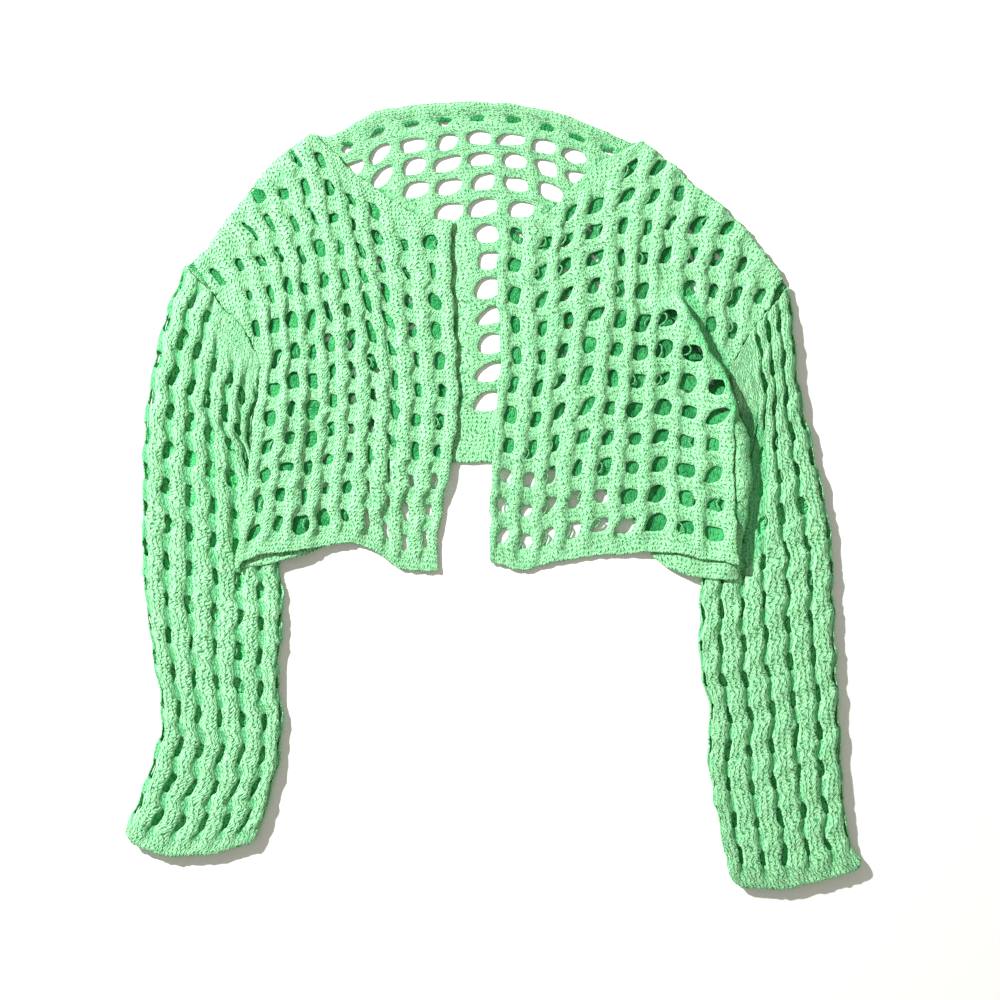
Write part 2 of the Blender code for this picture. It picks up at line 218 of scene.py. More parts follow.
@dataclass(frozen=True)
class Patch:
    """A piece's outline in plan: four edges with a smooth net between them, as in its solid."""

    low: Curve
    high: Curve
    start: Curve
    end: Curve
    start_flow: Curve
    end_flow: Curve
    grip: float

    RING_STEPS = 120
    ACROSS_STEPS = 21
    ALONG_STEPS = 41

    def at(self, u: np.ndarray, v: np.ndarray) -> np.ndarray:
        """Places on the patch.

        Args:
            u: shares along the low and high edges.
            v: shares from the low edge to the high one.

        Returns:
            x, y in millimetres, one row for each place.
        """
        across, along = u[:, None], v[:, None]
        ends = np.array([0.0, 1.0])
        low_start, low_end = self.low(ends)
        high_start, high_end = self.high(ends)
        place = (1 - along) * self.low(u) + along * self.high(u)
        place += (1 - across) * self.start_flow(v) + across * self.end_flow(v)
        place -= (1 - along) * ((1 - across) * low_start + across * low_end)
        place -= along * ((1 - across) * high_start + across * high_end)
        place += (1 - across) ** self.grip * (self.start(v) - self.start_flow(v))
        place += across**self.grip * (self.end(v) - self.end_flow(v))
        return place

    def ring(self) -> np.ndarray:
        """The patch's closed outline, in millimetres."""
        share = np.linspace(0.0, 1.0, self.RING_STEPS)
        back = share[::-1]
        return np.vstack([self.low(share), self.end(share), self.high(back), self.start(back)])

    def lengths(self) -> tuple[np.ndarray, np.ndarray]:
        """How long the patch is at each share across.

        Returns:
            Shares across and the lengths there, in millimetres.
        """
        across = np.linspace(0.0, 1.0, self.ACROSS_STEPS)
        along = np.linspace(0.0, 1.0, self.ALONG_STEPS)
        u, v = np.meshgrid(across, along, indexing="ij")
        places = self.at(u.ravel(), v.ravel()).reshape(len(across), len(along), 2)
        return across, np.linalg.norm(np.diff(places, axis=1), axis=2).sum(axis=1)

    def flat_size(self) -> tuple[tuple[float, float], float]:
        """The size of the piece's cut.

        Returns:
            Its width and length in metres, and its area in square metres.
        """
        ring = self.ring() * MM
        after = np.roll(ring, -1, axis=0)
        area = abs(float(np.sum(ring[:, 0] * after[:, 1] - after[:, 0] * ring[:, 1]))) / 2
        width, length = np.ptp(ring, axis=0)
        return (float(width), float(length)), area


class Plan:
    """The plan outlines of the five pieces."""

    BODY_GRIP = 6.0
    SLEEVE_GRIP = 1.5

    @classmethod
    def side_edge(cls, side: Side, below: Points) -> Curve:
        """A side edge of the body, from the hem to the underarm and on up the armhole."""
        return joined(curve_through(below), curve_through(Outline.ARMHOLE[side]), Outline.UNDERARM_SHARE)

    @classmethod
    def front(cls, side: Side, neck_share: float) -> Patch:
        """A front's outline.

        Args:
            side: which front.
            neck_share: the share of its top that is neckline, before the shoulder starts.

        Returns:
            The patch, with u from the front edge to the side and v from the hem up.
        """
        neckline = curve_through(Outline.NECKLINE[side][::-1])
        shoulder = curve_through(Outline.SHOULDER[side][::-1])
        edge = curve_through(Outline.FRONT_EDGE[side])
        return Patch(
            low=curve_through(Outline.FRONT_HEM[side][::-1]),
            high=joined(neckline, shoulder, neck_share),
            start=edge,
            end=cls.side_edge(side, Outline.SIDE[side]),
            start_flow=edge,
            end_flow=curve_through(Outline.SIDE_FLOW[side]),
            grip=cls.BODY_GRIP,
        )

    @classmethod
    def back(cls) -> Patch:
        """The back's outline.

        Returns:
            The patch, with u from the wearer's right to the left and v from the hem up.
        """
        to_right = Outline.BACK_RIGHT_NECK_SHARE
        to_left = Outline.BACK_LEFT_NECK_SHARE
        neck = curve_through(Outline.BACK_NECK)
        left_shoulder = curve_through(Outline.SHOULDER[Side.LEFT][::-1])
        neck_and_left = joined(neck, left_shoulder, (to_left - to_right) / (1 - to_right))
        return Patch(
            low=curve_through(Outline.BACK_HEM),
            high=joined(curve_through(Outline.SHOULDER[Side.RIGHT]), neck_and_left, to_right),
            start=cls.side_edge(Side.RIGHT, Outline.SIDE[Side.RIGHT]),
            end=cls.side_edge(Side.LEFT, Outline.BACK_LEFT_SIDE),
            start_flow=curve_through(Outline.SIDE_FLOW[Side.RIGHT]),
            end_flow=curve_through(Outline.BACK_LEFT_SIDE_FLOW),
            grip=cls.BODY_GRIP,
        )

    @classmethod
    def sleeve(cls, side: Side) -> Patch:
        """A flattened sleeve's outline.

        Args:
            side: which sleeve.

        Returns:
            The patch, with u from the outer to the inner edge and v from the armhole to the cuff.
        """
        outer = curve_through(Outline.OUTER[side])
        return Patch(
            low=curve_through(Outline.ARMHOLE[side][::-1]),
            high=curve_through(Outline.CUFF[side]),
            start=outer,
            end=curve_through(Outline.INNER[side]),
            start_flow=outer,
            end_flow=curve_through(Outline.INNER_FLOW[side]),
            grip=cls.SLEEVE_GRIP,
        )


@dataclass(frozen=True)
class Layering:
    """How the pieces lie on each other, in millimetres, as their solids do."""

    wall: float = 2.0
    layer_gap: float = 0.8
    sleeve_gap: float = 0.7
    seam_gap: float = 0.2
    rib_relief: float = 1.2
    sleeve_height: float = 8.8
    sleeve_height_under_body: float = 6.2
    cap_share: float = 0.09
    pressed_width: float = 18.0
    pressed_ramp: float = 10.0
    pressed_start_ramp: float = 20.0
    past_hem_y: float = -110.0
    lift_plateau: float = 8.0
    lift_ramp: float = 40.0
    lift_start_y: float = 128.0
    lift_end_y: float = 72.0
    drop_start: float = 22.0
    drop_ramp: float = 24.0
    crease_height: float = 11.0
    crease_width: float = 38.0
    crease_step: float = 2.0
    crease_end_ramp: float = 20.0
    crease_reach: float = 5.0
    off_crease: float = 1000.0
    side_lift: float = 10.0
    side_width: float = 38.0
    raised_from_y: float = 115.0
    raised_start_ramp: float = 50.0
    raised_end_ramp: float = 60.0
    valley_edge: float = 4.0
    valley_width: float = 14.0
    valley_ramp: float = 10.0

    def edge_x(self, edge: Points, y: np.ndarray) -> np.ndarray:
        """The x at which an edge that runs down the garment passes each height y."""
        table = np.array(sorted(edge, key=lambda point: point[1]), dtype=float)
        return np.interp(y, table[:, 1], table[:, 0])

    def body_lift(self, x: np.ndarray, y: np.ndarray) -> np.ndarray:
        """Height of the back's underside where it climbs over the sleeves.

        Args:
            x: places across, in millimetres.
            y: places along, in millimetres.

        Returns:
            The height off the surface at each place.
        """
        right, left = (self.edge_x(Outline.LIFT_LINE[side], y) for side in Side)
        line = np.where(x < 0, right, left)
        across = 1 - smooth((np.abs(line) - np.abs(x) - self.lift_plateau) / self.lift_ramp)
        down = smooth((self.lift_start_y - y) / (self.lift_start_y - self.lift_end_y))
        return (self.sleeve_height_under_body + self.sleeve_gap) * across * down

    def front_base(self, x: np.ndarray, y: np.ndarray) -> np.ndarray:
        """Height of a front's underside.

        Args:
            x: places across, in millimetres.
            y: places along, in millimetres.

        Returns:
            The height at each place, on the back or, past its arched hem, on the surface.
        """
        hem = np.array(Outline.BACK_HEM, dtype=float)
        below = np.interp(x, hem[:, 0], hem[:, 1]) - y
        on_back = 1 - smooth((below - self.drop_start) / self.drop_ramp)
        return self.body_lift(x, y) + (self.wall + self.layer_gap) * on_back

    def beside_body(self, y: np.ndarray) -> np.ndarray:
        """Where the body's left side is raised off the sleeve, from 0 to 1 along the garment."""
        below_underarm = smooth((self.raised_from_y - y) / self.raised_start_ramp)
        return below_underarm * smooth((y - self.past_hem_y) / self.raised_end_ramp)

    def valley(self, past: np.ndarray) -> np.ndarray:
        """Where the knit lies low past a raised edge, from 0 to 1."""
        near_edge = smooth((past + self.valley_edge) / self.valley_edge)
        return near_edge * (1 - smooth((past - self.valley_width) / self.valley_ramp))

    def past_body(self, x: np.ndarray, y: np.ndarray) -> np.ndarray:
        """How far each place lies to the wearer's left of the body's left side."""
        return x - self.edge_x(Outline.BACK_LEFT_SIDE, y)

    def left_side_lift(self, x: np.ndarray, y: np.ndarray) -> np.ndarray:
        """How far the body's left side stands off the sleeve below the underarm."""
        return self.side_lift * (1 - smooth(-self.past_body(x, y) / self.side_width)) * self.beside_body(y)

    def past_crease(self, x: np.ndarray, y: np.ndarray) -> np.ndarray:
        """How far each place lies to the wearer's left of the crease, and far off it past its ends."""
        past = x - self.edge_x(Outline.CREASE, y)
        (_, low), (_, high) = Outline.CREASE[0], Outline.CREASE[-1]
        beside = (y > low - self.crease_reach) & (y < high + self.crease_reach)
        return np.where(beside, past, np.sign(past) * self.off_crease)

    def crease(self, x: np.ndarray, y: np.ndarray) -> np.ndarray:
        """Height of the raised fold beside the left armhole.

        Args:
            x: places across, in millimetres.
            y: places along, in millimetres.

        Returns:
            The height, which falls softly on one side and steeply on the other.
        """
        past = self.past_crease(x, y)
        soft = smooth((past + self.crease_width) / self.crease_width)
        steep = 1 - smooth(past / self.crease_step)
        (_, low), (_, high) = Outline.CREASE[0], Outline.CREASE[-1]
        inside = smooth((y - low) / self.crease_end_ramp) * smooth((high - y) / self.crease_end_ramp)
        return self.crease_height * np.where(past < 0, soft, steep) * inside

    def sleeve_top(self, x: np.ndarray, y: np.ndarray, down: np.ndarray) -> np.ndarray:
        """Height of a sleeve without its ribs.

        Args:
            x: places across, in millimetres.
            y: places along, in millimetres.
            down: shares of the way from the armhole to the cuff.

        Returns:
            The height of the upper side at each place.
        """
        right = self.edge_x(Outline.SIDE[Side.RIGHT], y)
        side = np.where(x < 0, right, self.edge_x(Outline.BACK_LEFT_SIDE, y))
        near_body = smooth((self.pressed_width - (np.abs(x) - np.abs(side))) / self.pressed_ramp)
        start = self.lift_start_y + self.pressed_start_ramp
        pressed = near_body * smooth((start - y) / self.pressed_start_ramp) * (y > self.past_hem_y)
        free = self.sleeve_height - self.rib_relief
        height = free - (self.sleeve_height - self.sleeve_height_under_body) * pressed
        at_seam = 2 * self.wall + self.layer_gap
        return at_seam + (height - at_seam) * smooth(down / self.cap_share)


@dataclass(frozen=True)
class Border:
    """A plain knitted edge of a net: its width in cells and the quads across it."""

    cells: float = 0.0
    quads: int = 0


@dataclass
class Net:
    """An open net in cells: a hole in each, ribs up its sides and bars between its rows."""

    columns: int
    rows: int
    hole_width: float
    hole_height: float
    zigzag: float
    wales: float
    courses: float
    seed: int
    quads: int = 8
    start: Border = Border()
    end: Border = Border()
    low: Border = Border()
    high: Border = Border()
    spread: float = 0.22
    stagger: float = 0.08
    groove: float = 0.42
    flank: float = 0.5
    lean_spread: float = 0.12
    shift_spread: float = 0.06
    sway_spread: float = 0.35
    roundness: float = 0.75
    softness: float = 1.4
    edge_sway: float = 0.45
    edge_width: float = 0.8
    bead: float = 0.16
    plain_height: float = 0.5

    HOLE_REACH = 0.5
    WIDTH_RANGE = (0.5, 1.5)
    HEIGHT_RANGE = (0.5, 1.35)
    HEIGHT_SPREAD = 0.8
    SWAY_RANGE = (0.2, 2.0)
    SECOND_SWAY = 0.35
    LAST_PLACE = 0.999

    def __post_init__(self) -> None:
        """Draw each cell's own hole, a little different from the next."""
        rng = np.random.default_rng(self.seed)
        shape = (self.columns, self.rows)
        self.open = np.ones(shape, dtype=bool)
        widths = rng.normal(1, self.spread, shape)
        self.widths = self.hole_width * np.clip(widths, *self.WIDTH_RANGE)
        heights = rng.normal(1, self.HEIGHT_SPREAD * self.spread, shape)
        self.heights = self.hole_height * np.clip(heights, *self.HEIGHT_RANGE)
        sways = rng.normal(1, self.sway_spread, (self.columns + 1, self.rows))
        self.sways = np.clip(sways, *self.SWAY_RANGE)
        self.steps = rng.normal(0, self.stagger, self.columns)
        self.steps[-1] = self.steps[0]
        self.leans = rng.normal(0, self.lean_spread, shape)
        self.shifts = rng.normal(0, self.shift_spread, shape)

    def lines(self, cells: int, before: Border, after: Border) -> np.ndarray:
        """Grid lines across one direction.

        Args:
            cells: how many cells there are.
            before: the border ahead of them.
            after: the border past them.

        Returns:
            The lines' places in cells.
        """
        inner = np.arange(cells * self.quads + 1) / self.quads
        parts = [inner]
        if before.quads:
            parts.insert(0, -before.cells * (1 - np.arange(before.quads) / before.quads))
        if after.quads:
            parts.append(cells + after.cells * np.arange(1, after.quads + 1) / after.quads)
        return np.concatenate(parts)

    def centres(self) -> tuple[np.ndarray, np.ndarray]:
        """Places of the cells' centres, in tables of columns by rows."""
        return np.meshgrid(np.arange(self.columns) + 0.5, np.arange(self.rows) + 0.5, indexing="ij")

    def openness(self, across: np.ndarray, along: np.ndarray) -> np.ndarray:
        """How open the net is round each place, 0 in plain knitting and 1 in the net."""
        padded = np.pad(self.open.astype(float), 1)
        column = np.clip(across + 0.5, 0, self.columns + self.LAST_PLACE)
        row = np.clip(along + 0.5, 0, self.rows + self.LAST_PLACE)
        i, j = column.astype(int), row.astype(int)
        s, t = column - i, row - j
        low = padded[i, j] * (1 - s) + padded[i + 1, j] * s
        high = padded[i, j + 1] * (1 - s) + padded[i + 1, j + 1] * s
        return smooth(self.softness * (low * (1 - t) + high * t))

    def cell_of(self, across: np.ndarray, along: np.ndarray) -> tuple[np.ndarray, np.ndarray, np.ndarray]:
        """The cell that each place lies in.

        Args:
            across: places across, in cells.
            along: places along, in cells.

        Returns:
            The column, the row and whether that cell is there and open.
        """
        i = np.clip(np.floor(across).astype(int), 0, self.columns - 1)
        j = np.clip(np.floor(along).astype(int), 0, self.rows - 1)
        inside = (across >= 0) & (across <= self.columns) & (along >= 0) & (along <= self.rows)
        return i, j, inside & self.open[i, j]

    def deform(self, across: np.ndarray, along: np.ndarray) -> tuple[np.ndarray, np.ndarray]:
        """Round each hole and let its ribs lean and zigzag.

        Args:
            across: places across, in cells.
            along: places along, in cells.

        Returns:
            The moved places, across and along.
        """
        i, j, is_open = self.cell_of(across, along)
        p = 2 * (across - i) - 1
        q = 2 * (along - j) - 1
        ring = np.maximum(np.maximum(np.abs(p), np.abs(q)), 1e-6)
        near = np.clip((1 - ring) / self.HOLE_REACH, 0, 1)
        radius = np.maximum(np.hypot(p, q), 1e-6)
        to_round = self.roundness * near
        side = p / ring * (1 - to_round) + p / radius * to_round
        rise = q / ring * (1 - to_round) + q / radius * to_round
        side = side * (1 + (self.widths[i, j] - 1) * near)
        rise = rise * (1 + (self.heights[i, j] - 1) * near)
        side = side + near * (self.leans[i, j] * rise + self.shifts[i, j])
        moved_across = np.where(is_open, i + (side + 1) / 2, across)
        moved_along = np.where(is_open, j + (rise + 1) / 2, along)
        openness = self.openness(across, along)
        inward = np.clip(np.minimum(across, self.columns - across) / self.edge_width, 0, 1)
        at_edge = self.edge_sway + (1 - self.edge_sway) * inward
        swung = self.sway(moved_across, moved_along) * openness * at_edge
        return moved_across + swung, moved_along + self.step(moved_across) * openness

    def step(self, across: np.ndarray) -> np.ndarray:
        """How far each column's rows stand off its neighbours', in cells."""
        return np.interp(across, np.arange(self.columns) + 0.5, self.steps)

    def sway(self, across: np.ndarray, along: np.ndarray) -> np.ndarray:
        """How far the ribs swing to the side: slowly over a hole, and quickly back over a bar.

        Args:
            across: places across, in cells.
            along: places along, in cells.

        Returns:
            The swing, in cells.
        """
        turn = 2 * np.pi * (along - 0.5)
        i = np.clip(np.floor(across).astype(int), 0, self.columns - 1)
        j = np.clip(np.floor(along).astype(int), 0, self.rows - 1)
        share = np.clip(across - i, 0, 1)
        own = self.sways[i, j] * (1 - share) + self.sways[i + 1, j] * share
        return self.zigzag * own * (np.sin(turn) - self.SECOND_SWAY * np.sin(2 * turn))

    def relief(self, across: np.ndarray, along: np.ndarray) -> tuple[np.ndarray, np.ndarray]:
        """The net's profile.

        Args:
            across: places across, in cells.
            along: places along, in cells.

        Returns:
            How much of a rib and how much of a bar each place is, from 0 to 1.
        """
        to_rib = np.abs(2 * (across - np.floor(across)) - 1)
        openness = self.openness(across, along)
        rib = smooth((to_rib - self.groove) / self.flank)
        beads = 1 + self.bead * np.cos(2 * np.pi * along)
        return rib * beads * openness + self.plain_height * (1 - openness), (1 - rib) * openness


@dataclass(frozen=True)
class YarnFinishAndShade:
    """Matt cotton yarn: its own colours, and shade painted into its colour in gaps, hollows and under other
    layers.

    The scales are counts of noise in a metre, and the bump's depth is in metres.
    """

    name: str = "mint_yarn"
    light: tuple[float, float, float] = (0.41, 0.89, 0.48)
    soft: tuple[float, float, float] = (0.34, 0.83, 0.43)
    # Painted shade in the gaps between stitches.
    gap: tuple[float, float, float] = (0.055, 0.40, 0.12)
    # Painted shade beneath another layer, in patches of this colour and the next.
    covered_shade_and_light: tuple[float, float, float] = (0.06, 0.48, 0.15)
    deep: tuple[float, float, float] = (0.015, 0.3, 0.08)
    # Painted shade on sunken bars, in valleys beside raised edges and on loose strands.
    sunken: tuple[float, float, float] = (0.17, 0.67, 0.29)
    sunken_share: float = 0.9
    sunken_edges: tuple[float, float] = (0.4, 1.0)
    melange_scale: float = 90.0
    melange_detail: float = 3.0
    melange_edges: tuple[float, float] = (0.42, 0.68)
    patch_scale: float = 34.0
    patch_edges: tuple[float, float] = (0.4, 0.62)
    fibre_scale: float = 700.0
    fibre_contrast: float = 3.4
    fibre_level: float = -0.7
    fibre_height: float = 0.3
    bump: float = 1.0
    bump_depth: float = 0.002
    roughness: float = 0.9
    specular: float = 0.1
    sheen: float = 0.05
    sheen_roughness: float = 0.6


MINT = YarnFinishAndShade()
# The sleeves' copy, whose lower layer is painted brighter: painted light that passes between the stitches
# into the tube's shade.
MINT_TUBE_PAINTED_LIGHT = YarnFinishAndShade(name="mint_yarn_tube_painted_light", covered_shade_and_light=(0.2, 0.95, 0.36), deep=(0.08, 0.75, 0.22))


class Nodes:
    """Places nodes in a tree and joins them."""

    NOISE_DETAIL = 2.0

    def __init__(self, tree: bpy.types.NodeTree) -> None:
        """Keep the tree that the nodes go into."""
        self.tree = tree

    def add(self, kind: str, **settings: object) -> bpy.types.Node:
        """Place a node.

        Args:
            kind: the node's type.
            settings: its properties.

        Returns:
            The node.
        """
        node = self.tree.nodes.new(kind)
        for key, value in settings.items():
            setattr(node, key, value)
        return node

    def link(self, source: object, target: bpy.types.NodeSocket) -> None:
        """Join an output to an input, or set the input where the source is a plain value."""
        if isinstance(source, bpy.types.NodeSocket):
            self.tree.links.new(source, target)
        else:
            target.default_value = source

    def math(self, operation: str, *values: object) -> bpy.types.NodeSocket:
        """A Math node's result.

        Args:
            operation: which sum it works out.
            values: its inputs, sockets or numbers.

        Returns:
            The output socket.
        """
        node = self.add("ShaderNodeMath", operation=operation)
        for socket, value in zip(node.inputs, values):
            self.link(value, socket)
        return node.outputs[0]

    def ridge(self, value: object) -> bpy.types.NodeSocket:
        """A rounded ridge for each whole step of the value: 0 at its edges and 1 at its middle."""
        centred = self.math("MULTIPLY_ADD", self.math("FRACT", value), 2.0, -1.0)
        return self.math("SUBTRACT", 1.0, self.math("MULTIPLY", centred, centred))

    def step(self, value: object, low: float, high: float) -> bpy.types.NodeSocket:
        """A soft step from 0 to 1 as the value passes from low to high."""
        node = self.add("ShaderNodeMapRange", interpolation_type="SMOOTHSTEP")
        self.link(value, node.inputs["Value"])
        node.inputs["From Min"].default_value = low
        node.inputs["From Max"].default_value = high
        return node.outputs["Result"]

    def noise(self, vector: object, scale: float, detail: float = NOISE_DETAIL) -> bpy.types.NodeSocket:
        """Soft noise over a place."""
        node = self.add("ShaderNodeTexNoise")
        node.inputs["Scale"].default_value = scale
        node.inputs["Detail"].default_value = detail
        self.link(vector, node.inputs["Vector"])
        return node.outputs["Fac"]

    def mix_colour(self, share: object, first: object, second: object) -> bpy.types.NodeSocket:
        """A mix of two colours.

        Args:
            share: how much of the second colour there is.
            first: a colour or a colour socket.
            second: a colour or a colour socket.

        Returns:
            The mixed colour's socket.
        """
        node = self.add("ShaderNodeMix", data_type="RGBA")
        self.link(share, node.inputs[0])
        self.link(first, node.inputs[6])
        self.link(second, node.inputs[7])
        return node.outputs[2]


class StitchGroup:
    """The node group that draws knit stitches."""

    NAME = "knit_stitches"
    WANDER_SCALE = 0.55
    WANDER_DETAIL = 3.0
    WALE_WANDER = 2.4
    COURSE_WANDER = -2.2
    COLUMN_POWER = 1.7
    LEG_SLANT = -0.8
    LEG_DEPTH = 0.25
    LOOP_POWER = 1.5
    LOOP_DEPTH = 0.2
    SPECK_DEPTH = -0.8
    LADDER_WANDER = 1.6
    LADDER_POWER = 0.8
    LADDER_SHARE = 0.2
    GAP_EDGES = (0.15, 0.85)

    @classmethod
    def tree(cls) -> bpy.types.NodeTree:
        """Build the group once.

        Returns:
            The group: from wales and courses to the height of the yarn and the gaps in it, where the
                material paints shade.
        """
        if cls.NAME in bpy.data.node_groups:
            return bpy.data.node_groups[cls.NAME]
        tree = bpy.data.node_groups.new(cls.NAME, "ShaderNodeTree")
        tree.interface.new_socket("Stitches", in_out="INPUT", socket_type="NodeSocketVector")
        tree.interface.new_socket("Bar", in_out="INPUT", socket_type="NodeSocketFloat")
        tree.interface.new_socket("Height", in_out="OUTPUT", socket_type="NodeSocketFloat")
        tree.interface.new_socket("Gap", in_out="OUTPUT", socket_type="NodeSocketFloat")
        nodes = Nodes(tree)
        source = nodes.add("NodeGroupInput")
        wander = nodes.noise(source.outputs["Stitches"], cls.WANDER_SCALE, cls.WANDER_DETAIL)
        place = nodes.add("ShaderNodeSeparateXYZ")
        nodes.link(source.outputs["Stitches"], place.inputs[0])
        wale = nodes.math("MULTIPLY_ADD", wander, cls.WALE_WANDER, place.outputs["X"])
        course = nodes.math("MULTIPLY_ADD", wander, cls.COURSE_WANDER, place.outputs["Y"])
        centred = nodes.math("MULTIPLY_ADD", nodes.math("FRACT", wale), 2.0, -1.0)
        from_middle = nodes.math("ABSOLUTE", centred)
        beside = nodes.math("POWER", from_middle, cls.COLUMN_POWER)
        slanted = nodes.math("MULTIPLY_ADD", from_middle, cls.LEG_SLANT, course)
        loop = nodes.math("POWER", nodes.ridge(slanted), cls.LOOP_POWER)
        leg = nodes.math("MULTIPLY_ADD", nodes.ridge(from_middle), cls.LEG_DEPTH, 1 - cls.LEG_DEPTH)
        speck = nodes.math("MULTIPLY", beside, nodes.math("MULTIPLY_ADD", loop, cls.SPECK_DEPTH, 1.0))
        arched = nodes.math("MULTIPLY_ADD", loop, cls.LOOP_DEPTH, 1 - cls.LOOP_DEPTH)
        looped = nodes.math("MULTIPLY", leg, arched)
        stitch = nodes.math("MULTIPLY", nodes.math("SUBTRACT", 1.0, speck), looped)
        rungs = nodes.ridge(nodes.math("MULTIPLY_ADD", wander, cls.LADDER_WANDER, course))
        ladder = nodes.math("POWER", rungs, cls.LADDER_POWER)
        in_bar = nodes.math("MULTIPLY", source.outputs["Bar"], cls.LADDER_SHARE)
        height = nodes.math("MULTIPLY_ADD", nodes.math("SUBTRACT", ladder, stitch), in_bar, stitch)
        # The low places between stitches, where the material paints shade.
        gap = nodes.math("SUBTRACT", 1.0, nodes.step(height, *cls.GAP_EDGES))
        result = nodes.add("NodeGroupOutput")
        nodes.link(height, result.inputs["Height"])
        nodes.link(gap, result.inputs["Gap"])
        return tree


def yarn_material(finish_and_shade: YarnFinishAndShade) -> bpy.types.Material:
    """The yarn's material, with shade painted into its colour.

    Args:
        finish_and_shade: the yarn's colours and relief, and the colours of the shade painted into it.

    Returns:
        A material that follows the piece's stitches map, and paints shade where its bar and cover attributes
        say.
    """
    if finish_and_shade.name in bpy.data.materials:
        return bpy.data.materials[finish_and_shade.name]
    material = bpy.data.materials.new(finish_and_shade.name)
    material.use_nodes = True
    nodes = Nodes(material.node_tree)
    shader = material.node_tree.nodes["Principled BSDF"]
    shader.inputs["Roughness"].default_value = finish_and_shade.roughness
    shader.inputs["Sheen Weight"].default_value = finish_and_shade.sheen
    shader.inputs["Sheen Roughness"].default_value = finish_and_shade.sheen_roughness
    shader.inputs["Specular IOR Level"].default_value = finish_and_shade.specular
    stitches = nodes.add("ShaderNodeUVMap", uv_map="stitches")
    bar = nodes.add("ShaderNodeAttribute", attribute_name="bar")
    cover = nodes.add("ShaderNodeAttribute", attribute_name="cover")
    knit = nodes.add("ShaderNodeGroup", node_tree=StitchGroup.tree())
    nodes.link(stitches.outputs["UV"], knit.inputs["Stitches"])
    nodes.link(bar.outputs["Fac"], knit.inputs["Bar"])
    place = nodes.add("ShaderNodeTexCoord")
    melange = nodes.noise(place.outputs["Object"], finish_and_shade.melange_scale, finish_and_shade.melange_detail)
    fibre = nodes.noise(place.outputs["Object"], finish_and_shade.fibre_scale)
    blotches = nodes.noise(place.outputs["Object"], finish_and_shade.patch_scale)
    tone = nodes.step(melange, *finish_and_shade.melange_edges)
    body = nodes.mix_colour(tone, (*finish_and_shade.light, 1), (*finish_and_shade.soft, 1))
    # Painted shade on the sunken bars, in the valleys beside raised edges and on the strands.
    low = nodes.step(bar.outputs["Fac"], *finish_and_shade.sunken_edges)
    body = nodes.mix_colour(nodes.math("MULTIPLY", low, finish_and_shade.sunken_share), body, (*finish_and_shade.sunken, 1))
    # Painted shade in the gaps between stitches, uneven from fibre to fibre.
    uneven = nodes.math("MULTIPLY_ADD", fibre, finish_and_shade.fibre_contrast, finish_and_shade.fibre_level)
    share = nodes.math("MINIMUM", nodes.math("MULTIPLY", knit.outputs["Gap"], uneven), 1.0)
    stitched = nodes.mix_colour(share, body, (*finish_and_shade.gap, 1))
    # Beneath another layer the colour is painted shade, in darker and lighter patches, with the gaps'
    # painted shade over it; the sleeves' copy brightens it as painted light.
    patches = nodes.step(blotches, *finish_and_shade.patch_edges)
    deep = nodes.mix_colour(patches, (*finish_and_shade.covered_shade_and_light, 1), (*finish_and_shade.deep, 1))
    deep = nodes.mix_colour(knit.outputs["Gap"], deep, (*finish_and_shade.gap, 1))
    nodes.link(nodes.mix_colour(cover.outputs["Fac"], stitched, deep), shader.inputs["Base Color"])
    bump = nodes.add("ShaderNodeBump")
    bump.inputs["Strength"].default_value = finish_and_shade.bump
    bump.inputs["Distance"].default_value = finish_and_shade.bump_depth
    height = nodes.math("MULTIPLY_ADD", fibre, finish_and_shade.fibre_height, knit.outputs["Height"])
    nodes.link(height, bump.inputs["Height"])
    nodes.link(bump.outputs["Normal"], shader.inputs["Normal"])
    return material


def grid_vertices(mesh: bpy.types.Mesh, columns: int, rows: int) -> tuple[np.ndarray, np.ndarray]:
    """Each vertex's column and row in a unit grid.

    Args:
        mesh: what is left of a flat grid of size 1.
        columns: how many vertices it was made with across.
        rows: how many vertices it was made with along.

    Returns:
        The columns and rows, counted from 0.
    """
    flat = np.empty(len(mesh.vertices) * 3)
    mesh.vertices.foreach_get("co", flat)
    flat = flat.reshape(-1, 3)
    column = np.rint((flat[:, 0] + 0.5) * (columns - 1)).astype(int)
    row = np.rint((flat[:, 1] + 0.5) * (rows - 1)).astype(int)
    return column, row


def place_vertices(mesh: bpy.types.Mesh, points: np.ndarray) -> None:
    """Move a mesh's vertices to points in millimetres."""
    mesh.vertices.foreach_set("co", (points * MM).ravel())
    mesh.update()


def to_mesh(bm: bmesh.types.BMesh, mesh: bpy.types.Mesh) -> bpy.types.Mesh:
    """Write a bmesh into a mesh and free it."""
    bm.to_mesh(mesh)
    bm.free()
    return mesh


def linked(name: str, data: bpy.types.ID) -> bpy.types.Object:
    """Make an object of a mesh, a light or a camera, and put it in the scene."""
    made = bpy.data.objects.new(name, data)
    bpy.context.scene.collection.objects.link(made)
    return made


def mark(mesh: bpy.types.Mesh, uv: np.ndarray, **values: np.ndarray) -> None:
    """Give a mesh its stitches map and its attributes.

    Args:
        mesh: the mesh.
        uv: wales and courses at each vertex.
        values: the attributes' values at each vertex.
    """
    loops = np.empty(len(mesh.loops), dtype=np.int32)
    mesh.loops.foreach_get("vertex_index", loops)
    mesh.uv_layers.new(name="stitches").data.foreach_set("uv", uv[loops].ravel())
    for name, value in values.items():
        mesh.attributes.new(name, "FLOAT", "POINT").data.foreach_set("value", value)


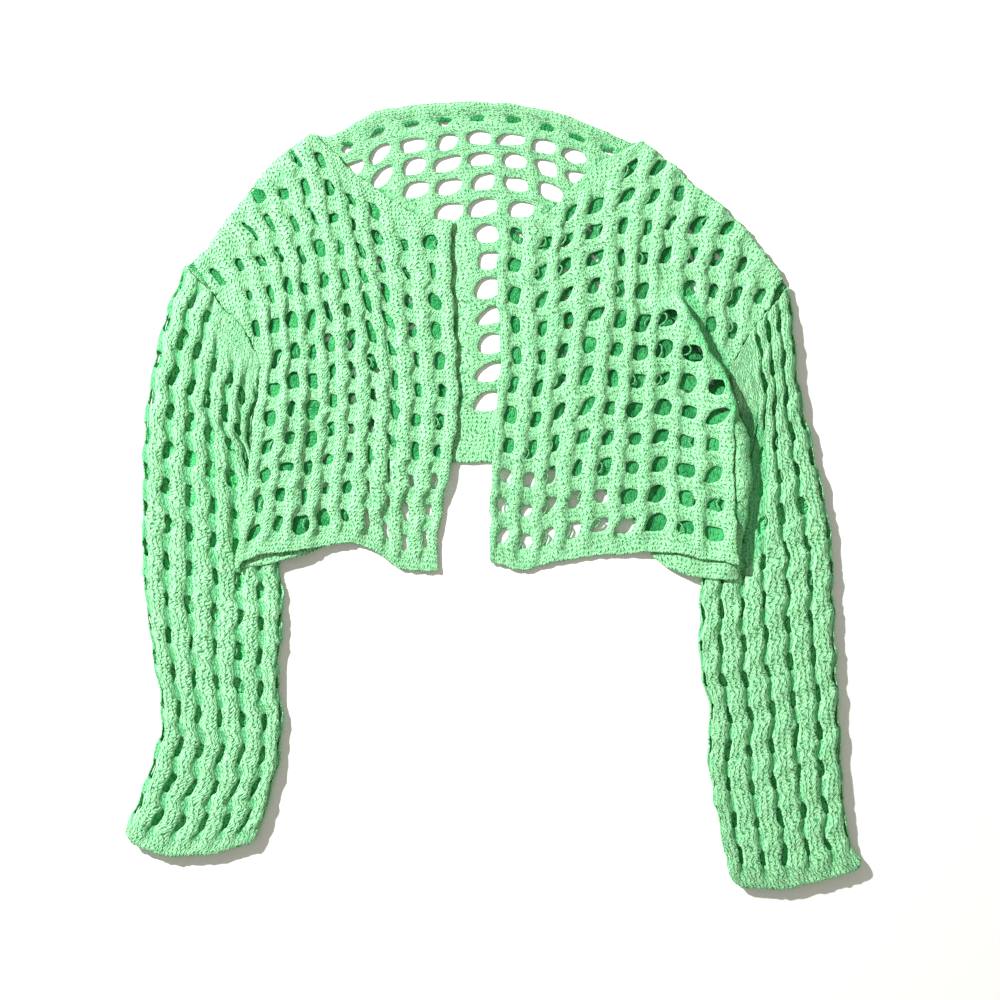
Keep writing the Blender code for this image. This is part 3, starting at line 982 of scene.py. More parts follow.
def inside_outline(points: np.ndarray, ring: np.ndarray) -> np.ndarray:
    """Whether each plan place lies inside a closed outline."""
    x, y = points[:, 0, None], points[:, 1, None]
    after = np.roll(ring, -1, axis=0)
    crosses = (ring[:, 1] > y) != (after[:, 1] > y)
    rise = np.where(after[:, 1] == ring[:, 1], 1e-9, after[:, 1] - ring[:, 1])
    at = ring[:, 0] + (y - ring[:, 1]) / rise * (after[:, 0] - ring[:, 0])
    return (np.sum(crosses & (x < at), axis=1) % 2).astype(bool)


@dataclass(frozen=True)
class Wave:
    """A slow sway of the cloth, in millimetres."""

    reach: float
    length: float
    drift: float
    turns: float = 2.0

    def at(self, along: np.ndarray, across: np.ndarray) -> np.ndarray:
        """How far the cloth sways at each place."""
        drifted = self.turns * np.sin(across / self.drift)
        return self.reach * np.sin(2 * np.pi * along / self.length + drifted)


SIDEWAYS = (Wave(0.9, 41, 26), Wave(0.3, 15, 11))
UPWARDS = (Wave(0.5, 43, 21), Wave(0.25, 16, 9))


def wobble(points: np.ndarray) -> np.ndarray:
    """Sway places a little to and fro, so that the cloth's ribs and edges aren't drawn straight.

    Args:
        points: x, y, z in millimetres.

    Returns:
        The swayed points, at the same heights.
    """
    x, y, z = points.T
    sideways = sum(wave.at(y, x) for wave in SIDEWAYS)
    upwards = sum(wave.at(x, y) for wave in UPWARDS)
    return np.stack([x + sideways, y + upwards, z], axis=1)


class KnitPiece:
    """A knitted piece: a net mapped onto its patch, with a wall, soft edges, stitches and loose strands."""

    PITCH = 30.0
    RIB_HEIGHT = 2.9
    UNEVENNESS = (0.6, 0.6, 0.4)
    WALL_GAIN = 1.3
    BAR_WALL = 0.55
    RIB_WALL = 0.45
    EDGE_SLACK = 0.45
    START_SLACK = 0.03
    STRAND_STEPS = 6
    STRAND_SIDES = 5
    STRAND_RADIUS = (0.75, 1.15)
    STRAND_TAPER = 0.3
    STRAND_BAR = 0.8
    STRAND_WALES = 1.7
    STRAND_OFFSET = 0.37
    CURL_FROM_LEFT = 0.6
    CURL_INSET = 0.3
    CURL_REACH = (0.14, 0.26)
    CURL_SIZE = (0.14, 0.22)
    CURL_SHIFT = 0.06
    CURL_HEIGHT = 0.6
    CURL_ARCH = 0.3
    COVER_SLOPE = 2.0
    curl_share = 0.35
    # How much of the sunken colour, a painted shade, the bars get.
    sunken = 0.5
    finish_and_shade = MINT

    def __init__(self, name: str, node: str, patch: Patch, net: Net, layering: Layering) -> None:
        """Keep what the piece is made from.

        Args:
            name: the piece's own name.
            node: the CAD node that it stands for.
            patch: its outline in plan.
            net: its net.
            layering: how the pieces lie on each other.
        """
        self.name = name
        self.node = node
        self.patch = patch
        self.net = net
        self.layering = layering
        self.object: bpy.types.Object | None = None
        self.knit_area = 0.0
        self.rng = np.random.default_rng(net.seed + 100)

    def shares(self, across: np.ndarray, along: np.ndarray) -> tuple[np.ndarray, np.ndarray]:
        """Turn places in cells into shares of the patch; each kind of piece has its own."""
        raise NotImplementedError

    def surface(self, u: np.ndarray, v: np.ndarray, rib: np.ndarray) -> np.ndarray:
        """Points of the piece's middle surface; each kind of piece has its own."""
        raise NotImplementedError

    def cover(self, points: np.ndarray, u: np.ndarray, v: np.ndarray) -> np.ndarray:
        """How far each place lies beneath another layer, from 0 to 1, where the material paints shade."""
        return np.zeros(len(points))

    def shade(self, x: np.ndarray, y: np.ndarray) -> np.ndarray:
        """How deep each place lies in a valley beside a raised edge, from 0 to 1, which weights the painted
        shade there.
        """
        return np.zeros(len(x))

    def limit(self, u: np.ndarray, v: np.ndarray) -> tuple[np.ndarray, np.ndarray, np.ndarray]:
        """Hold shares inside the patch.

        Args:
            u: shares across.
            v: shares along.

        Returns:
            The held shares, and whether each place was past the patch's end or top.
        """
        slack = self.EDGE_SLACK / self.net.quads
        past_end = u > 1 - slack / self.net.columns
        past_top = v > 1 - slack / self.net.rows
        u = np.where(past_end, 1, np.maximum(u, -self.START_SLACK))
        return u, np.clip(np.where(past_top, 1, v), 0, 1), past_end | past_top

    def place(self, across: np.ndarray, along: np.ndarray, rib: np.ndarray) -> np.ndarray:
        """Points of the piece's middle surface for places in cells.

        Args:
            across: places across, in cells.
            along: places along, in cells.
            rib: how much of a rib each place is.

        Returns:
            x, y, z in millimetres.
        """
        u, v, _ = self.limit(*self.shares(across, along))
        return self.surface(u, v, rib)

    def build(self) -> bpy.types.Object:
        """Model the piece.

        Returns:
            The piece's object.
        """
        shell = self.knit_net()
        strands = self.lay_strands()
        with bpy.context.temp_override(active_object=shell, selected_editable_objects=[shell, strands]):
            bpy.ops.object.join()
        shell.data.shade_smooth()
        shell.data.materials.clear()
        shell.data.materials.append(yarn_material(self.finish_and_shade))
        self.object = shell
        return shell

    def knit_net(self) -> bpy.types.Object:
        """Model the net and give it its wall.

        Returns:
            The net's object, with its modifiers applied.
        """
        net = self.net
        columns = net.lines(net.columns, net.start, net.end)
        rows = net.lines(net.rows, net.low, net.high)
        bm = bmesh.new()
        bmesh.ops.create_grid(bm, x_segments=len(columns) - 1, y_segments=len(rows) - 1, size=0.5)
        self.open_holes(bm, columns, rows)
        mesh = to_mesh(bm, bpy.data.meshes.new(self.name))
        column, row = grid_vertices(mesh, len(columns), len(rows))
        across, along = columns[column], rows[row]
        rib, bar = net.relief(across, along)
        moved_across, moved_along = net.deform(across, along)
        points = wobble(self.place(moved_across, moved_along, rib))
        points += self.rng.normal(0, 1, points.shape) * self.UNEVENNESS
        place_vertices(mesh, points)
        self.knit_area = sum(face.area * abs(face.normal.z) for face in mesh.polygons)
        wales = np.stack([across * net.wales, along * net.courses], axis=1)
        # The bars and the valleys beside raised edges get the sunken colour: painted shade.
        sunken = np.maximum(bar * self.sunken, self.shade(points[:, 0], points[:, 1]))
        # Places beneath another layer get the cover colours: painted shade, and on the sleeves painted light
        # too.
        mark(mesh, wales, bar=sunken, cover=self.cover(points, *self.shares(across, along)))
        self.close_seam(mesh)
        return self.thicken(mesh, np.minimum(self.BAR_WALL + self.RIB_WALL * rib, 1.0))

    def open_holes(self, bm: bmesh.types.BMesh, columns: np.ndarray, rows: np.ndarray) -> None:
        """Delete the faces inside each open cell's hole, and those past the piece's edge."""
        flat = np.array([vertex.co[:2] for vertex in bm.verts]) + 0.5
        across = columns[np.rint(flat[:, 0] * (len(columns) - 1)).astype(int)]
        along = rows[np.rint(flat[:, 1] * (len(rows) - 1)).astype(int)]
        past = self.limit(*self.shares(across, along))[2]
        corners = np.array([[vertex.index for vertex in face.verts] for face in bm.faces])
        across, along = across[corners].mean(axis=1), along[corners].mean(axis=1)
        i, j, is_open = self.net.cell_of(across, along)
        reach = self.net.HOLE_REACH
        inside = (np.abs(2 * (across - i) - 1) < reach) & (np.abs(2 * (along - j) - 1) < reach)
        gone = (is_open & inside) | past[corners].all(axis=1)
        bmesh.ops.delete(bm, geom=[face for face, out in zip(bm.faces, gone) if out], context="FACES")

    def close_seam(self, mesh: bpy.types.Mesh) -> None:
        """Close the piece where its edges meet; only a tube has such edges."""

    def thicken(self, mesh: bpy.types.Mesh, weights: np.ndarray) -> bpy.types.Object:
        """Give the sheet its wall, thicker along the ribs, and round it.

        Args:
            mesh: the sheet.
            weights: the wall's share of its full thickness at each vertex.

        Returns:
            The object, with its modifiers applied.
        """
        sheet = linked(self.name, mesh)
        group = sheet.vertex_groups.new(name="thick")
        for vertex in mesh.vertices:
            group.add([vertex.index], float(weights[min(vertex.index, len(weights) - 1)]), "REPLACE")
        wall = sheet.modifiers.new("wall", "SOLIDIFY")
        wall.thickness = self.WALL_GAIN * self.layering.wall * MM
        wall.offset = 0.0
        wall.vertex_group = group.name
        soft = sheet.modifiers.new("soft", "SUBSURF")
        soft.levels = 1
        soft.render_levels = 1
        graph = bpy.context.evaluated_depsgraph_get()
        baked = bpy.data.meshes.new_from_object(sheet.evaluated_get(graph))
        self.uncover_underside(baked)
        sheet.modifiers.clear()
        sheet.vertex_groups.clear()
        sheet.data = baked
        baked.name = self.name
        bpy.data.meshes.remove(mesh)
        return sheet

    @classmethod
    def uncover_underside(cls, mesh: bpy.types.Mesh) -> None:
        """Keep the painted shade of the layers beneath others to the wall's upper side."""
        cover = mesh.attributes["cover"].data
        values = np.empty(len(mesh.vertices))
        cover.foreach_get("value", values)
        normals = np.empty(len(mesh.vertices) * 3)
        mesh.vertices.foreach_get("normal", normals)
        upward = normals.reshape(-1, 3)[:, 2]
        cover.foreach_set("value", values * smooth(0.5 + cls.COVER_SLOPE * upward))

    def open_cells(self) -> tuple[np.ndarray, np.ndarray]:
        """The columns and rows of the open cells."""
        return np.nonzero(self.net.open)

    def strand_paths(self) -> np.ndarray:
        """Centre lines of the loose strands, which curl into some of the holes.

        Returns:
            Points in millimetres, in a table of strands by steps.
        """
        i, j = self.open_cells()
        curled = self.rng.random(len(i)) < self.curl_share
        i, j = i[curled], j[curled]
        sign = np.where(self.rng.random(len(i)) < self.CURL_FROM_LEFT, 1, -1)[:, None]
        arc = np.pi * (np.linspace(0, 1, self.STRAND_STEPS + 1)[None, :] - 0.5)
        reach = self.rng.uniform(*self.CURL_REACH, len(i))[:, None]
        size = self.rng.uniform(*self.CURL_SIZE, len(i))[:, None]
        shift = self.rng.normal(0, self.CURL_SHIFT, len(i))[:, None]
        across = i[:, None] + 0.5 - sign * (self.CURL_INSET - reach * np.cos(arc))
        along = j[:, None] + 0.5 + shift + size * np.sin(arc)
        return self.float_over(across, along, self.CURL_HEIGHT + self.CURL_ARCH * np.cos(arc))

    def float_over(self, across: np.ndarray, along: np.ndarray, height: np.ndarray) -> np.ndarray:
        """Strand points a little above the net's low middle surface.

        Args:
            across: places across, in cells.
            along: places along, in cells.
            height: heights above the surface, in millimetres.

        Returns:
            x, y, z in millimetres.
        """
        moved = across + self.net.sway(across, along)
        points = self.place(moved.ravel(), (along + self.net.step(across)).ravel(), np.zeros(across.size))
        points[:, 2] += np.broadcast_to(height, across.shape).ravel()
        return wobble(points).reshape(*across.shape, 3)

    def lay_strands(self) -> bpy.types.Object:
        """Model the strands as one mesh of thin tubes.

        Returns:
            Their object.
        """
        paths = self.strand_paths()
        sides, steps, count = self.STRAND_SIDES, self.STRAND_STEPS, len(paths)
        rows = count * (sides + 1)
        bm = bmesh.new()
        bmesh.ops.create_grid(bm, x_segments=steps, y_segments=rows - 1, size=0.5)
        middles = [(face.calc_center_median().y + 0.5) * (rows - 1) for face in bm.faces]
        between = [face for face, middle in zip(bm.faces, middles) if int(middle) % (sides + 1) == sides]
        bmesh.ops.delete(bm, geom=between, context="FACES")
        mesh = to_mesh(bm, bpy.data.meshes.new(f"{self.name}_strands"))
        column, row = grid_vertices(mesh, steps + 1, rows)
        strand, side = row // (sides + 1), row % (sides + 1)
        tangent = np.gradient(paths, axis=1)
        tangent /= np.linalg.norm(tangent, axis=2, keepdims=True)
        level = np.cross(tangent, (0.0, 0.0, 1.0))
        level /= np.maximum(np.linalg.norm(level, axis=2, keepdims=True), 1e-6)
        upward = np.cross(level, tangent)
        angle = 2 * np.pi * (side % sides) / sides
        taper = np.sin(np.pi * np.linspace(0, 1, steps + 1)) ** self.STRAND_TAPER
        radius = self.rng.uniform(*self.STRAND_RADIUS, count)[strand] * np.round(taper, 3)[column]
        aside = np.cos(angle)[:, None] * level[strand, column]
        above = np.sin(angle)[:, None] * upward[strand, column]
        place_vertices(mesh, paths[strand, column] + radius[:, None] * (aside + above))
        wale = column * self.STRAND_WALES
        uv = np.stack([wale + strand * self.STRAND_OFFSET, wale + side / sides], axis=1)
        # The strands get part of the sunken colour, a painted shade, and the bars' ladder of stitches.
        mark(mesh, uv, bar=np.full(len(uv), self.STRAND_BAR), cover=np.zeros(len(uv)))
        self.weld(mesh)
        return linked(mesh.name, mesh)

    @staticmethod
    def weld(mesh: bpy.types.Mesh) -> None:
        """Merge a mesh's coincident vertices and turn its faces outwards."""
        bm = bmesh.new()
        bm.from_mesh(mesh)
        bmesh.ops.remove_doubles(bm, verts=bm.verts, dist=0.001 * MM)
        bmesh.ops.recalc_face_normals(bm, faces=bm.faces)
        to_mesh(bm, mesh)

    def dress(self, held: str, rests_on: list[str]) -> None:
        """Tie the piece to the frame.

        Args:
            held: how the sheet is held; not used.
            rests_on: what it lies on; not used.
        """
        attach(self.object, "root")
        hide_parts(self.node)
        self.cut()[0]

    def cut(self) -> tuple[tuple[float, float], float]:
        """The size of the piece's cut, in metres, and its area with the holes, in square metres."""
        return self.patch.flat_size()


class Front(KnitPiece):
    """A front, from its front edge to its side, with a plain band along the neckline."""

    ROWS = 15
    COLUMNS_LOW = 9.0
    COLUMNS_HIGH = 11.0
    NECK_SHARE = 0.36
    NECK_MARGIN = 0.02
    NECK_BAND = 19.0
    EDGE_BAND = 12.0
    SHOULDER_BAND = 25.0
    SHOULDER_FROM = 0.7
    SHOULDER_RAMP = 0.06
    SHOULDER_DROP = 2.4
    SHOULDER_WIDTH = 9.0
    LENGTH = 380.0
    CELL_REACH = 0.35
    LAST_SHARE = 0.99
    START_CROWDING = 0.5
    TOP_MARGIN = 4.0
    QUARTER_ROW = 7.5
    LOWEST_HOLE = 0.3
    CORNER = (0.45, 0.3)
    CORNER_WIDTH = 0.55
    WIDER = 0.4
    WIDE_RAMP = 0.3
    WIDE_TO = 0.6
    WIDE_END_RAMP = 0.2
    CREASE_BAND = 8.0
    CREASE_MIDDLE = 4.0
    CREASE_LEAN = 0.6
    VALLEY_DEPTH = 0.8
    VALLEY_SHADE = 0.9
    HIGHEST_LAYER = 17.0
    WALL_MIDDLE = 0.6

    def __init__(self, side: Side, layering: Layering) -> None:
        """Set out a front's net."""
        right = side is Side.RIGHT
        net = Net(
            columns=11,
            rows=self.ROWS,
            hole_width=0.36 if right else 0.42,
            hole_height=0.52,
            zigzag=0.035 if right else 0.065,
            wales=7.0,
            courses=7.0,
            seed=11 if right else 12,
            start=Border(0.25, 2),
            low=Border(0.45, 4),
            spread=0.28 if right else 0.15,
        )
        name = f"{side.value}_front"
        super().__init__(f"{name}_knit", name, Plan.front(side, self.NECK_SHARE), net, layering)
        self.side = side
        self.crowding = 1.13 if right else 1.18
        self.wide_from = 0.45 if right else 0.3
        self.lengths = self.patch.lengths()
        self.close_plain_zones()

    def shares(self, across: np.ndarray, along: np.ndarray) -> tuple[np.ndarray, np.ndarray]:
        """Turn places in cells into shares of the patch, with narrower ribs at the front edge.

        Args:
            across: places across, in cells.
            along: places along, in cells.

        Returns:
            Shares from the front edge to the side, and from the hem up.
        """
        start = self.net.start.cells
        first = np.clip((across + start) / self.COLUMNS_HIGH, 0, 1) ** self.crowding
        v = (along + self.net.low.cells) * self.PITCH / np.interp(first, *self.lengths)
        growth = smooth(2 * v - 1)
        columns = self.COLUMNS_LOW + 0.5 + (self.COLUMNS_HIGH - self.COLUMNS_LOW) * growth
        share = (across + start) / columns
        return np.where(share > 0, np.abs(share) ** self.crowding, self.START_CROWDING * share), v

    def close_plain_zones(self) -> None:
        """Leave the neckline band, the seams and the crease without holes, and fit the others."""
        across, along = (centre.ravel() for centre in self.net.centres())
        shape = self.net.open.shape
        u, v = self.shares(across, along)
        end, _ = self.shares(across + self.CELL_REACH, along)
        to_top = (1 - v) * np.interp(np.clip(u, 0, 1), *self.lengths)
        band = np.where(u < self.NECK_SHARE + self.NECK_MARGIN, self.NECK_BAND, self.EDGE_BAND)
        if self.side is Side.RIGHT:
            band = np.where(u > self.SHOULDER_FROM, self.SHOULDER_BAND, band)
            corner = (u < self.CORNER[0]) & (v < self.CORNER[1])
            self.net.widths[corner.reshape(shape)] *= self.CORNER_WIDTH
        shut = (to_top < band) | (end > self.LAST_SHARE)
        if self.side is Side.LEFT:
            past = self.layering.past_crease(*self.patch.at(u, np.clip(v, 0, 1)).T)
            shut |= np.abs(past + self.CREASE_MIDDLE) < self.CREASE_BAND
        self.net.open &= ~shut.reshape(shape)
        outwards = smooth((u - self.wide_from) / self.WIDE_RAMP)
        upwards = smooth((v - self.WIDE_TO) / self.WIDE_END_RAMP)
        self.net.widths *= (1 + self.WIDER * outwards * (1 - upwards)).reshape(shape)
        fitting = np.maximum((to_top - self.TOP_MARGIN) / self.QUARTER_ROW, self.LOWEST_HOLE)
        self.net.heights = np.minimum(self.net.heights, fitting.reshape(shape))

    def surface(self, u: np.ndarray, v: np.ndarray, rib: np.ndarray) -> np.ndarray:
        """Points of the front's middle surface.

        Args:
            u: shares from the front edge to the side.
            v: shares from the hem up.
            rib: how much of a rib each place is.

        Returns:
            x, y, z in millimetres.
        """
        x, y = self.patch.at(u, v).T
        z = self.layering.front_base(x, y)
        if self.side is Side.LEFT:
            lift = np.maximum(self.layering.crease(x, y), self.layering.left_side_lift(x, y))
            z += np.minimum(lift, self.HIGHEST_LAYER - z)
            rib = rib * (1 - self.VALLEY_DEPTH * self.layering.valley(self.layering.past_crease(x, y)))
            x = x + self.CREASE_LEAN * self.layering.crease(x, y)
        z += self.WALL_MIDDLE * self.layering.wall + self.RIB_HEIGHT * rib
        on_shoulder = smooth((u - self.NECK_SHARE) / self.SHOULDER_RAMP)
        z -= self.SHOULDER_DROP * on_shoulder * (1 - smooth((1 - v) * self.LENGTH / self.SHOULDER_WIDTH))
        return np.stack([x, y, z], axis=1)

    def shade(self, x: np.ndarray, y: np.ndarray) -> np.ndarray:
        """How deep each place lies in the valley past the left front's crease, which weights the painted
        shade there.
        """
        if self.side is Side.RIGHT:
            return super().shade(x, y)
        return self.VALLEY_SHADE * self.layering.valley(self.layering.past_crease(x, y))


class Back(KnitPiece):
    """The back, which shows in the neck and between the fronts."""

    COLUMNS_LOW = 14.8
    COLUMNS_HIGH = 21.0
    MIDDLE_SHARE = 0.521
    SIDE_ROLL = 0.3
    SIDE_ROLL_FROM = 0.96
    SIDE_ROLL_RAMP = 0.012
    SIDE_DROP = 0.9
    SIDE_DROP_FROM = 0.976
    SIDE_DROP_RAMP = 0.024
    SIDE_MARGIN = 0.03
    SIDE_SHADE = 0.8
    SHADE_START = 7.0
    SHADE_RAMP = 4.0
    ROWS_ABOVE = 0.55
    ROW_GROWTH = 0.09
    GROWTH_FROM = 0.45
    NECK_RAMP = 0.05
    PLAIN_TOP = 0.94
    WHOLLY_IN_NECK = 0.9
    BAND_HOLE = (0.5, 0.42)
    HIDDEN_HOLE = (0.25, 0.3)
    ROLL_REACH = 0.075
    ROLL_HEIGHT = 4.2
    ROLL_WIDTH = 24.0
    ROLL_UNDER = 1.2
    ROLL_TURN = 0.985
    ROLL_RAMP = 0.03
    INSIDE_FROM = 1.01
    INSIDE_RAMP = 0.02
    SEAM_INSET = 0.006
    SEAM_FROM = 0.9
    LENGTH = 330.0
    CLEARANCE = 0.15
    RIB_HEIGHT = 0.8
    curl_share = 0.05

    def __init__(self, layering: Layering) -> None:
        """Set out the back's net."""
        net = Net(
            columns=22,
            rows=13,
            quads=7,
            hole_width=0.75,
            hole_height=0.69,
            zigzag=0.04,
            wales=9.0,
            courses=7.0,
            seed=21,
            low=Border(0.5, 4),
            high=Border(1.7, 7),
            spread=0.09,
        )
        self.fronts = [Plan.front(side, Front.NECK_SHARE).ring() for side in Side]
        super().__init__("back_knit", "back", Plan.back(), net, layering)
        self.close_plain_zones()

    def shares(self, across: np.ndarray, along: np.ndarray) -> tuple[np.ndarray, np.ndarray]:
        """Turn places in cells into shares of the patch, from its middle outwards.

        Args:
            across: places across, in cells.
            along: places along, in cells.

        Returns:
            Shares from the wearer's right to the left, and from the hem up.
        """
        rows = self.net.rows + self.net.low.cells + self.ROWS_ABOVE
        share = (along + self.net.low.cells) / rows
        v = share + self.ROW_GROWTH * share * (1 - share)
        growth = smooth((v - self.GROWTH_FROM) / (1 - self.GROWTH_FROM))
        columns = self.COLUMNS_LOW + (self.COLUMNS_HIGH - self.COLUMNS_LOW) * growth
        return self.MIDDLE_SHARE + (across - self.net.columns / 2) / columns, v

    def in_neck(self, u: np.ndarray) -> np.ndarray:
        """How far each place across lies in the neck, from 0 to 1."""
        from_right = smooth((u - Outline.BACK_RIGHT_NECK_SHARE) / self.NECK_RAMP)
        return from_right * smooth((Outline.BACK_LEFT_NECK_SHARE - u) / self.NECK_RAMP)

    def limit(self, u: np.ndarray, v: np.ndarray) -> tuple[np.ndarray, np.ndarray, np.ndarray]:
        """Hold shares inside the patch, and let the neck roll over.

        Args:
            u: shares across.
            v: shares along.

        Returns:
            The held shares, and whether each place was past the patch's sides or the roll.
        """
        slack = self.EDGE_SLACK / self.net.quads / self.net.columns
        past = (u > 1 - slack) | (u < slack)
        u = np.where(u > 1 - slack, 1, np.where(u < slack, 0, u))
        most = 1 + self.ROLL_REACH * self.in_neck(u)
        past |= v > most - slack
        return u, np.clip(np.where(v > most - slack, most, v), 0, None), past

    def close_plain_zones(self) -> None:
        """Leave the sides and shoulders without holes, and shrink those in the band and under the fronts."""
        across, along = self.net.centres()
        u, v = (share.reshape(across.shape) for share in self.shares(across.ravel(), along.ravel()))
        neck = self.in_neck(u)
        beside = (u > self.SIDE_MARGIN) & (u < 1 - self.SIDE_MARGIN)
        self.net.open &= beside & ((v < self.PLAIN_TOP) | (neck > self.WHOLLY_IN_NECK))
        self.net.open[:, 0] = False
        self.net.widths[:, -1] *= self.BAND_HOLE[0]
        self.net.heights[:, -1] *= self.BAND_HOLE[1]
        places = self.place(across.ravel(), along.ravel(), np.zeros(across.size))
        under = self.under_fronts(places).reshape(across.shape) > 0
        self.net.widths[under] *= self.HIDDEN_HOLE[0]
        self.net.heights[under] *= self.HIDDEN_HOLE[1]

    def surface(self, u: np.ndarray, v: np.ndarray, rib: np.ndarray) -> np.ndarray:
        """Points of the back's middle surface.

        Args:
            u: shares from the wearer's right to the left.
            v: shares from the hem up, past 1 where the neck rolls over.
            rib: how much of a rib each place is.

        Returns:
            x, y, z in millimetres.
        """
        neck = self.in_neck(u)
        over = smooth((v - self.ROLL_TURN) / self.ROLL_RAMP) * neck
        inset = self.SEAM_INSET * (1 - neck) * (v > self.SEAM_FROM)
        x, y = self.patch.at(u, np.where(v > 1, 2 - v, v) - inset).T
        inner = 0.5 * self.layering.wall + self.CLEARANCE + self.RIB_HEIGHT * rib
        roll = self.ROLL_HEIGHT * neck * smooth(1 - (1 - v) * self.LENGTH / self.ROLL_WIDTH)
        z = self.layering.body_lift(x, y) + (inner + roll) * (1 - over) + over * self.ROLL_UNDER
        raised = self.SIDE_ROLL * smooth((u - self.SIDE_ROLL_FROM) / self.SIDE_ROLL_RAMP)
        dropped = self.SIDE_DROP * smooth((u - self.SIDE_DROP_FROM) / self.SIDE_DROP_RAMP)
        z += self.layering.left_side_lift(x, y) * (1 + raised - dropped)
        return np.stack([x, y, z], axis=1)

    def shade(self, x: np.ndarray, y: np.ndarray) -> np.ndarray:
        """How deep each place lies in the drop at the raised left side, which weights the painted shade
        there.
        """
        depth = smooth((self.layering.past_body(x, y) + self.SHADE_START) / self.SHADE_RAMP)
        return self.SIDE_SHADE * depth * self.layering.beside_body(y)

    def cover(self, points: np.ndarray, u: np.ndarray, v: np.ndarray) -> np.ndarray:
        """How far each place lies beneath a front, or inside the rolled neck, where the material paints
        shade.

        Args:
            points: x, y, z in millimetres.
            u: shares across; not used.
            v: shares along.

        Returns:
            The cover, from 0 to 1.
        """
        return np.maximum(self.under_fronts(points), smooth((v - self.INSIDE_FROM) / self.INSIDE_RAMP))

    def under_fronts(self, points: np.ndarray) -> np.ndarray:
        """Whether each point lies beneath a front, as 0 or 1."""
        return np.any([inside_outline(points, ring) for ring in self.fronts], axis=0).astype(float)


